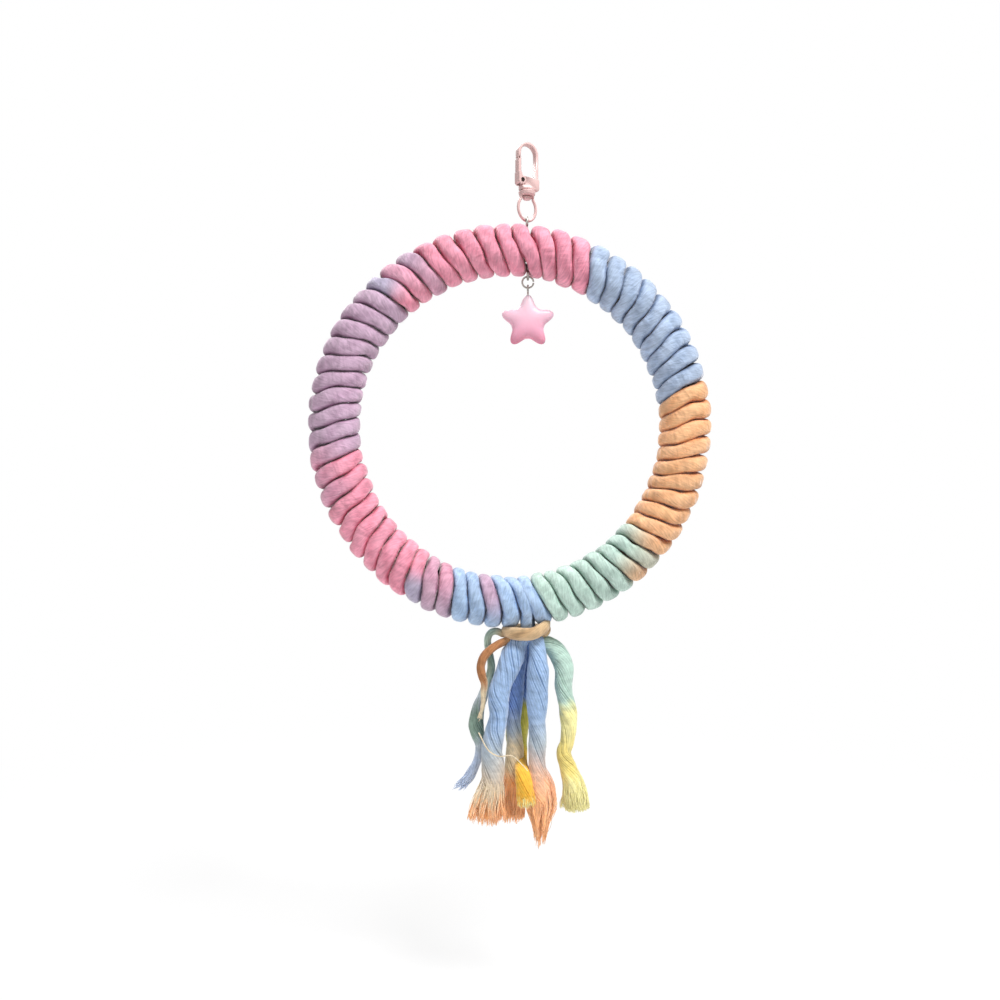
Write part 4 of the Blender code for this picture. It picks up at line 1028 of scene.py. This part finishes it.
def build_spring(material):
    """The gate's torsion spring: its coil stays in the block, round the gate's pivot, with one leg
    upright and one level.
    """
    turns = np.linspace(0, SPRING_TURNS, 41)
    coil = np.stack([PIVOT_X - SPRING_COIL * np.cos(TAU * turns),
                     (turns - SPRING_TURNS / 2) * SPRING_PITCH,
                     PIVOT_Z - SPRING_COIL * np.sin(TAU * turns)], axis=1)
    leg = np.linspace(SPRING_LEG, 0, 24, endpoint=False)[:, None]
    line = np.vstack([coil[0] + leg * (0, 0, 1), coil, coil[-1] + leg[::-1] * (1, 0, 0)])
    cos, sin = math.cos(CLASP_YAW), math.sin(CLASP_YAW)
    line = line @ np.array([[cos, sin, 0], [-sin, cos, 0], [0, 0, 1]])
    tubes = Tubes()
    wire(tubes, line, SPRING_WIRE, 10)
    spring = tubes.piece("gate_spring_wire", material, None)
    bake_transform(spring)
    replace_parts(spring, "gate_spring")


def refill(shell, side):
    """Fills the bar's flat face on one side of the hook anew from its rim."""
    flat = {face for face in shell.faces
            if all(abs(side * vert.co.y - HOOK_FLAT) < SAME_PLANE for vert in face.verts)}
    edges = {edge for face in flat for edge in face.edges}
    rim = [edge for edge in edges if sum(face in flat for face in edge.link_faces) == 1]
    bmesh.ops.delete(shell, geom=list(flat), context="FACES_ONLY")
    bmesh.ops.delete(shell, geom=list(edges - set(rim)), context="EDGES")
    rim.sort(key=lambda edge: edge.index)
    bmesh.ops.triangle_fill(shell, use_beauty=True, edges=rim, normal=(0, side, 0))


def build_hook(material):
    """The clasp's cast body: its solid, with the flat faces run out to a point on the nose's thin lip.
    If the copy doesn't close, the solid itself stays in view."""
    shell = bmesh.new()
    shell.from_mesh(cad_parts["hook_body"].data)
    bmesh.ops.rotate(shell, matrix=Matrix.Rotation(-CLASP_YAW, 3, "Z"), verts=shell.verts)
    for vert in shell.verts:
        across, deep, high = vert.co
        if abs(abs(deep) - HOOK_FLAT) < SAME_PLANE and across < LIP_INSIDE and high < LIP_TOP:
            vert.co.x = LIP_POINT if high < LIP_MIDDLE else LIP_CORNER
    bmesh.ops.remove_doubles(shell, verts=shell.verts, dist=SAME_PLACE)
    for side in (-1, 1):
        shell.edges.index_update()
        refill(shell, side)
    bmesh.ops.rotate(shell, matrix=Matrix.Rotation(CLASP_YAW, 3, "Z"), verts=shell.verts)
    if any(len(edge.link_faces) != 2 for edge in shell.edges):
        return
    mesh = bpy.data.meshes.new("hook_casting")
    shell.to_mesh(mesh)
    mesh.shade_smooth()
    mesh.set_sharp_from_angle(angle=SHARP_ANGLE)
    mesh.materials.clear()
    mesh.materials.append(material)
    hook = add_object("hook_casting", mesh)
    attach(hook, "clasp")
    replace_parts(hook, "hook_body")


def build_star(material):
    """The puffy star of the solids at a finer step, with its colour run from tip to foot."""
    middle = np.array([BOTTOM_EYE_X, 0, STAR_TIP_Z - STAR_TIP_RADIUS])
    angle = np.linspace(0, TAU, STAR_SIDES, endpoint=False)
    swell = (1 + np.cos(5 * angle)) / 2
    reach = STAR_WAIST_RADIUS + (STAR_TIP_RADIUS - STAR_WAIST_RADIUS) * swell ** STAR_SHARPNESS
    sweep = np.linspace(-math.pi / 2, math.pi / 2, 2 * STAR_RINGS + 1)[1:-1]
    share = np.cos(sweep)
    rise = np.sign(sweep) * STAR_THICKNESS / 2 * np.sqrt(np.maximum(1 - share ** STAR_DOME, 0))
    way = np.stack([np.sin(angle), 0 * angle, np.cos(angle)], axis=1)
    even = reach.mean() + (reach - reach.mean()) * share[:, None] ** STAR_BLEND
    grid = middle + (share[:, None] * even)[..., None] * way - rise[:, None, None] * np.array([0, 1, 0])
    height = (grid[..., 2] - middle[2]) / STAR_TIP_RADIUS
    tubes = Tubes()
    tubes.add(grid, dye_along(height, STAR_COLOURS))
    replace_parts(tubes.piece("star", material, "star"), "star_pendant")


def dress_nodes(looks):
    """Gives the solids that stay in view their materials."""
    for name, material in looks.items():
        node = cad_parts[name]
        node.data.materials.clear()
        node.data.materials.append(material)


set_stage()
ROPE_COTTON = cotton("rope_cotton", 1.1, 0.00030, 0.55)
TAIL_COTTON = cotton("tail_cotton", 0.8, 0.00028, 0.2)
PAINT = enamel()
WIRE_STEEL = steel("steel_wire", srgb(112, 106, 98), srgb(196, 192, 186))
DARK_STEEL = steel("dark_steel", srgb(44, 38, 36), srgb(78, 70, 66))
rope_points = build_rope(ROPE_COTTON)
for number, tail_name in enumerate(TAIL_ROUTES):
    build_tail(tail_name, 100 + 10 * number, rope_points, TAIL_COTTON)
build_band(TAIL_COTTON)
build_wires(WIRE_STEEL)
build_spring(WIRE_STEEL)
build_hook(PAINT)
build_star(resin())
dress_nodes({"hook_body": PAINT, "gate": PAINT, "swivel_stud": PAINT, "swivel_eye": PAINT,
             "gate_rivet": DARK_STEEL, "core_hoop": cane()})
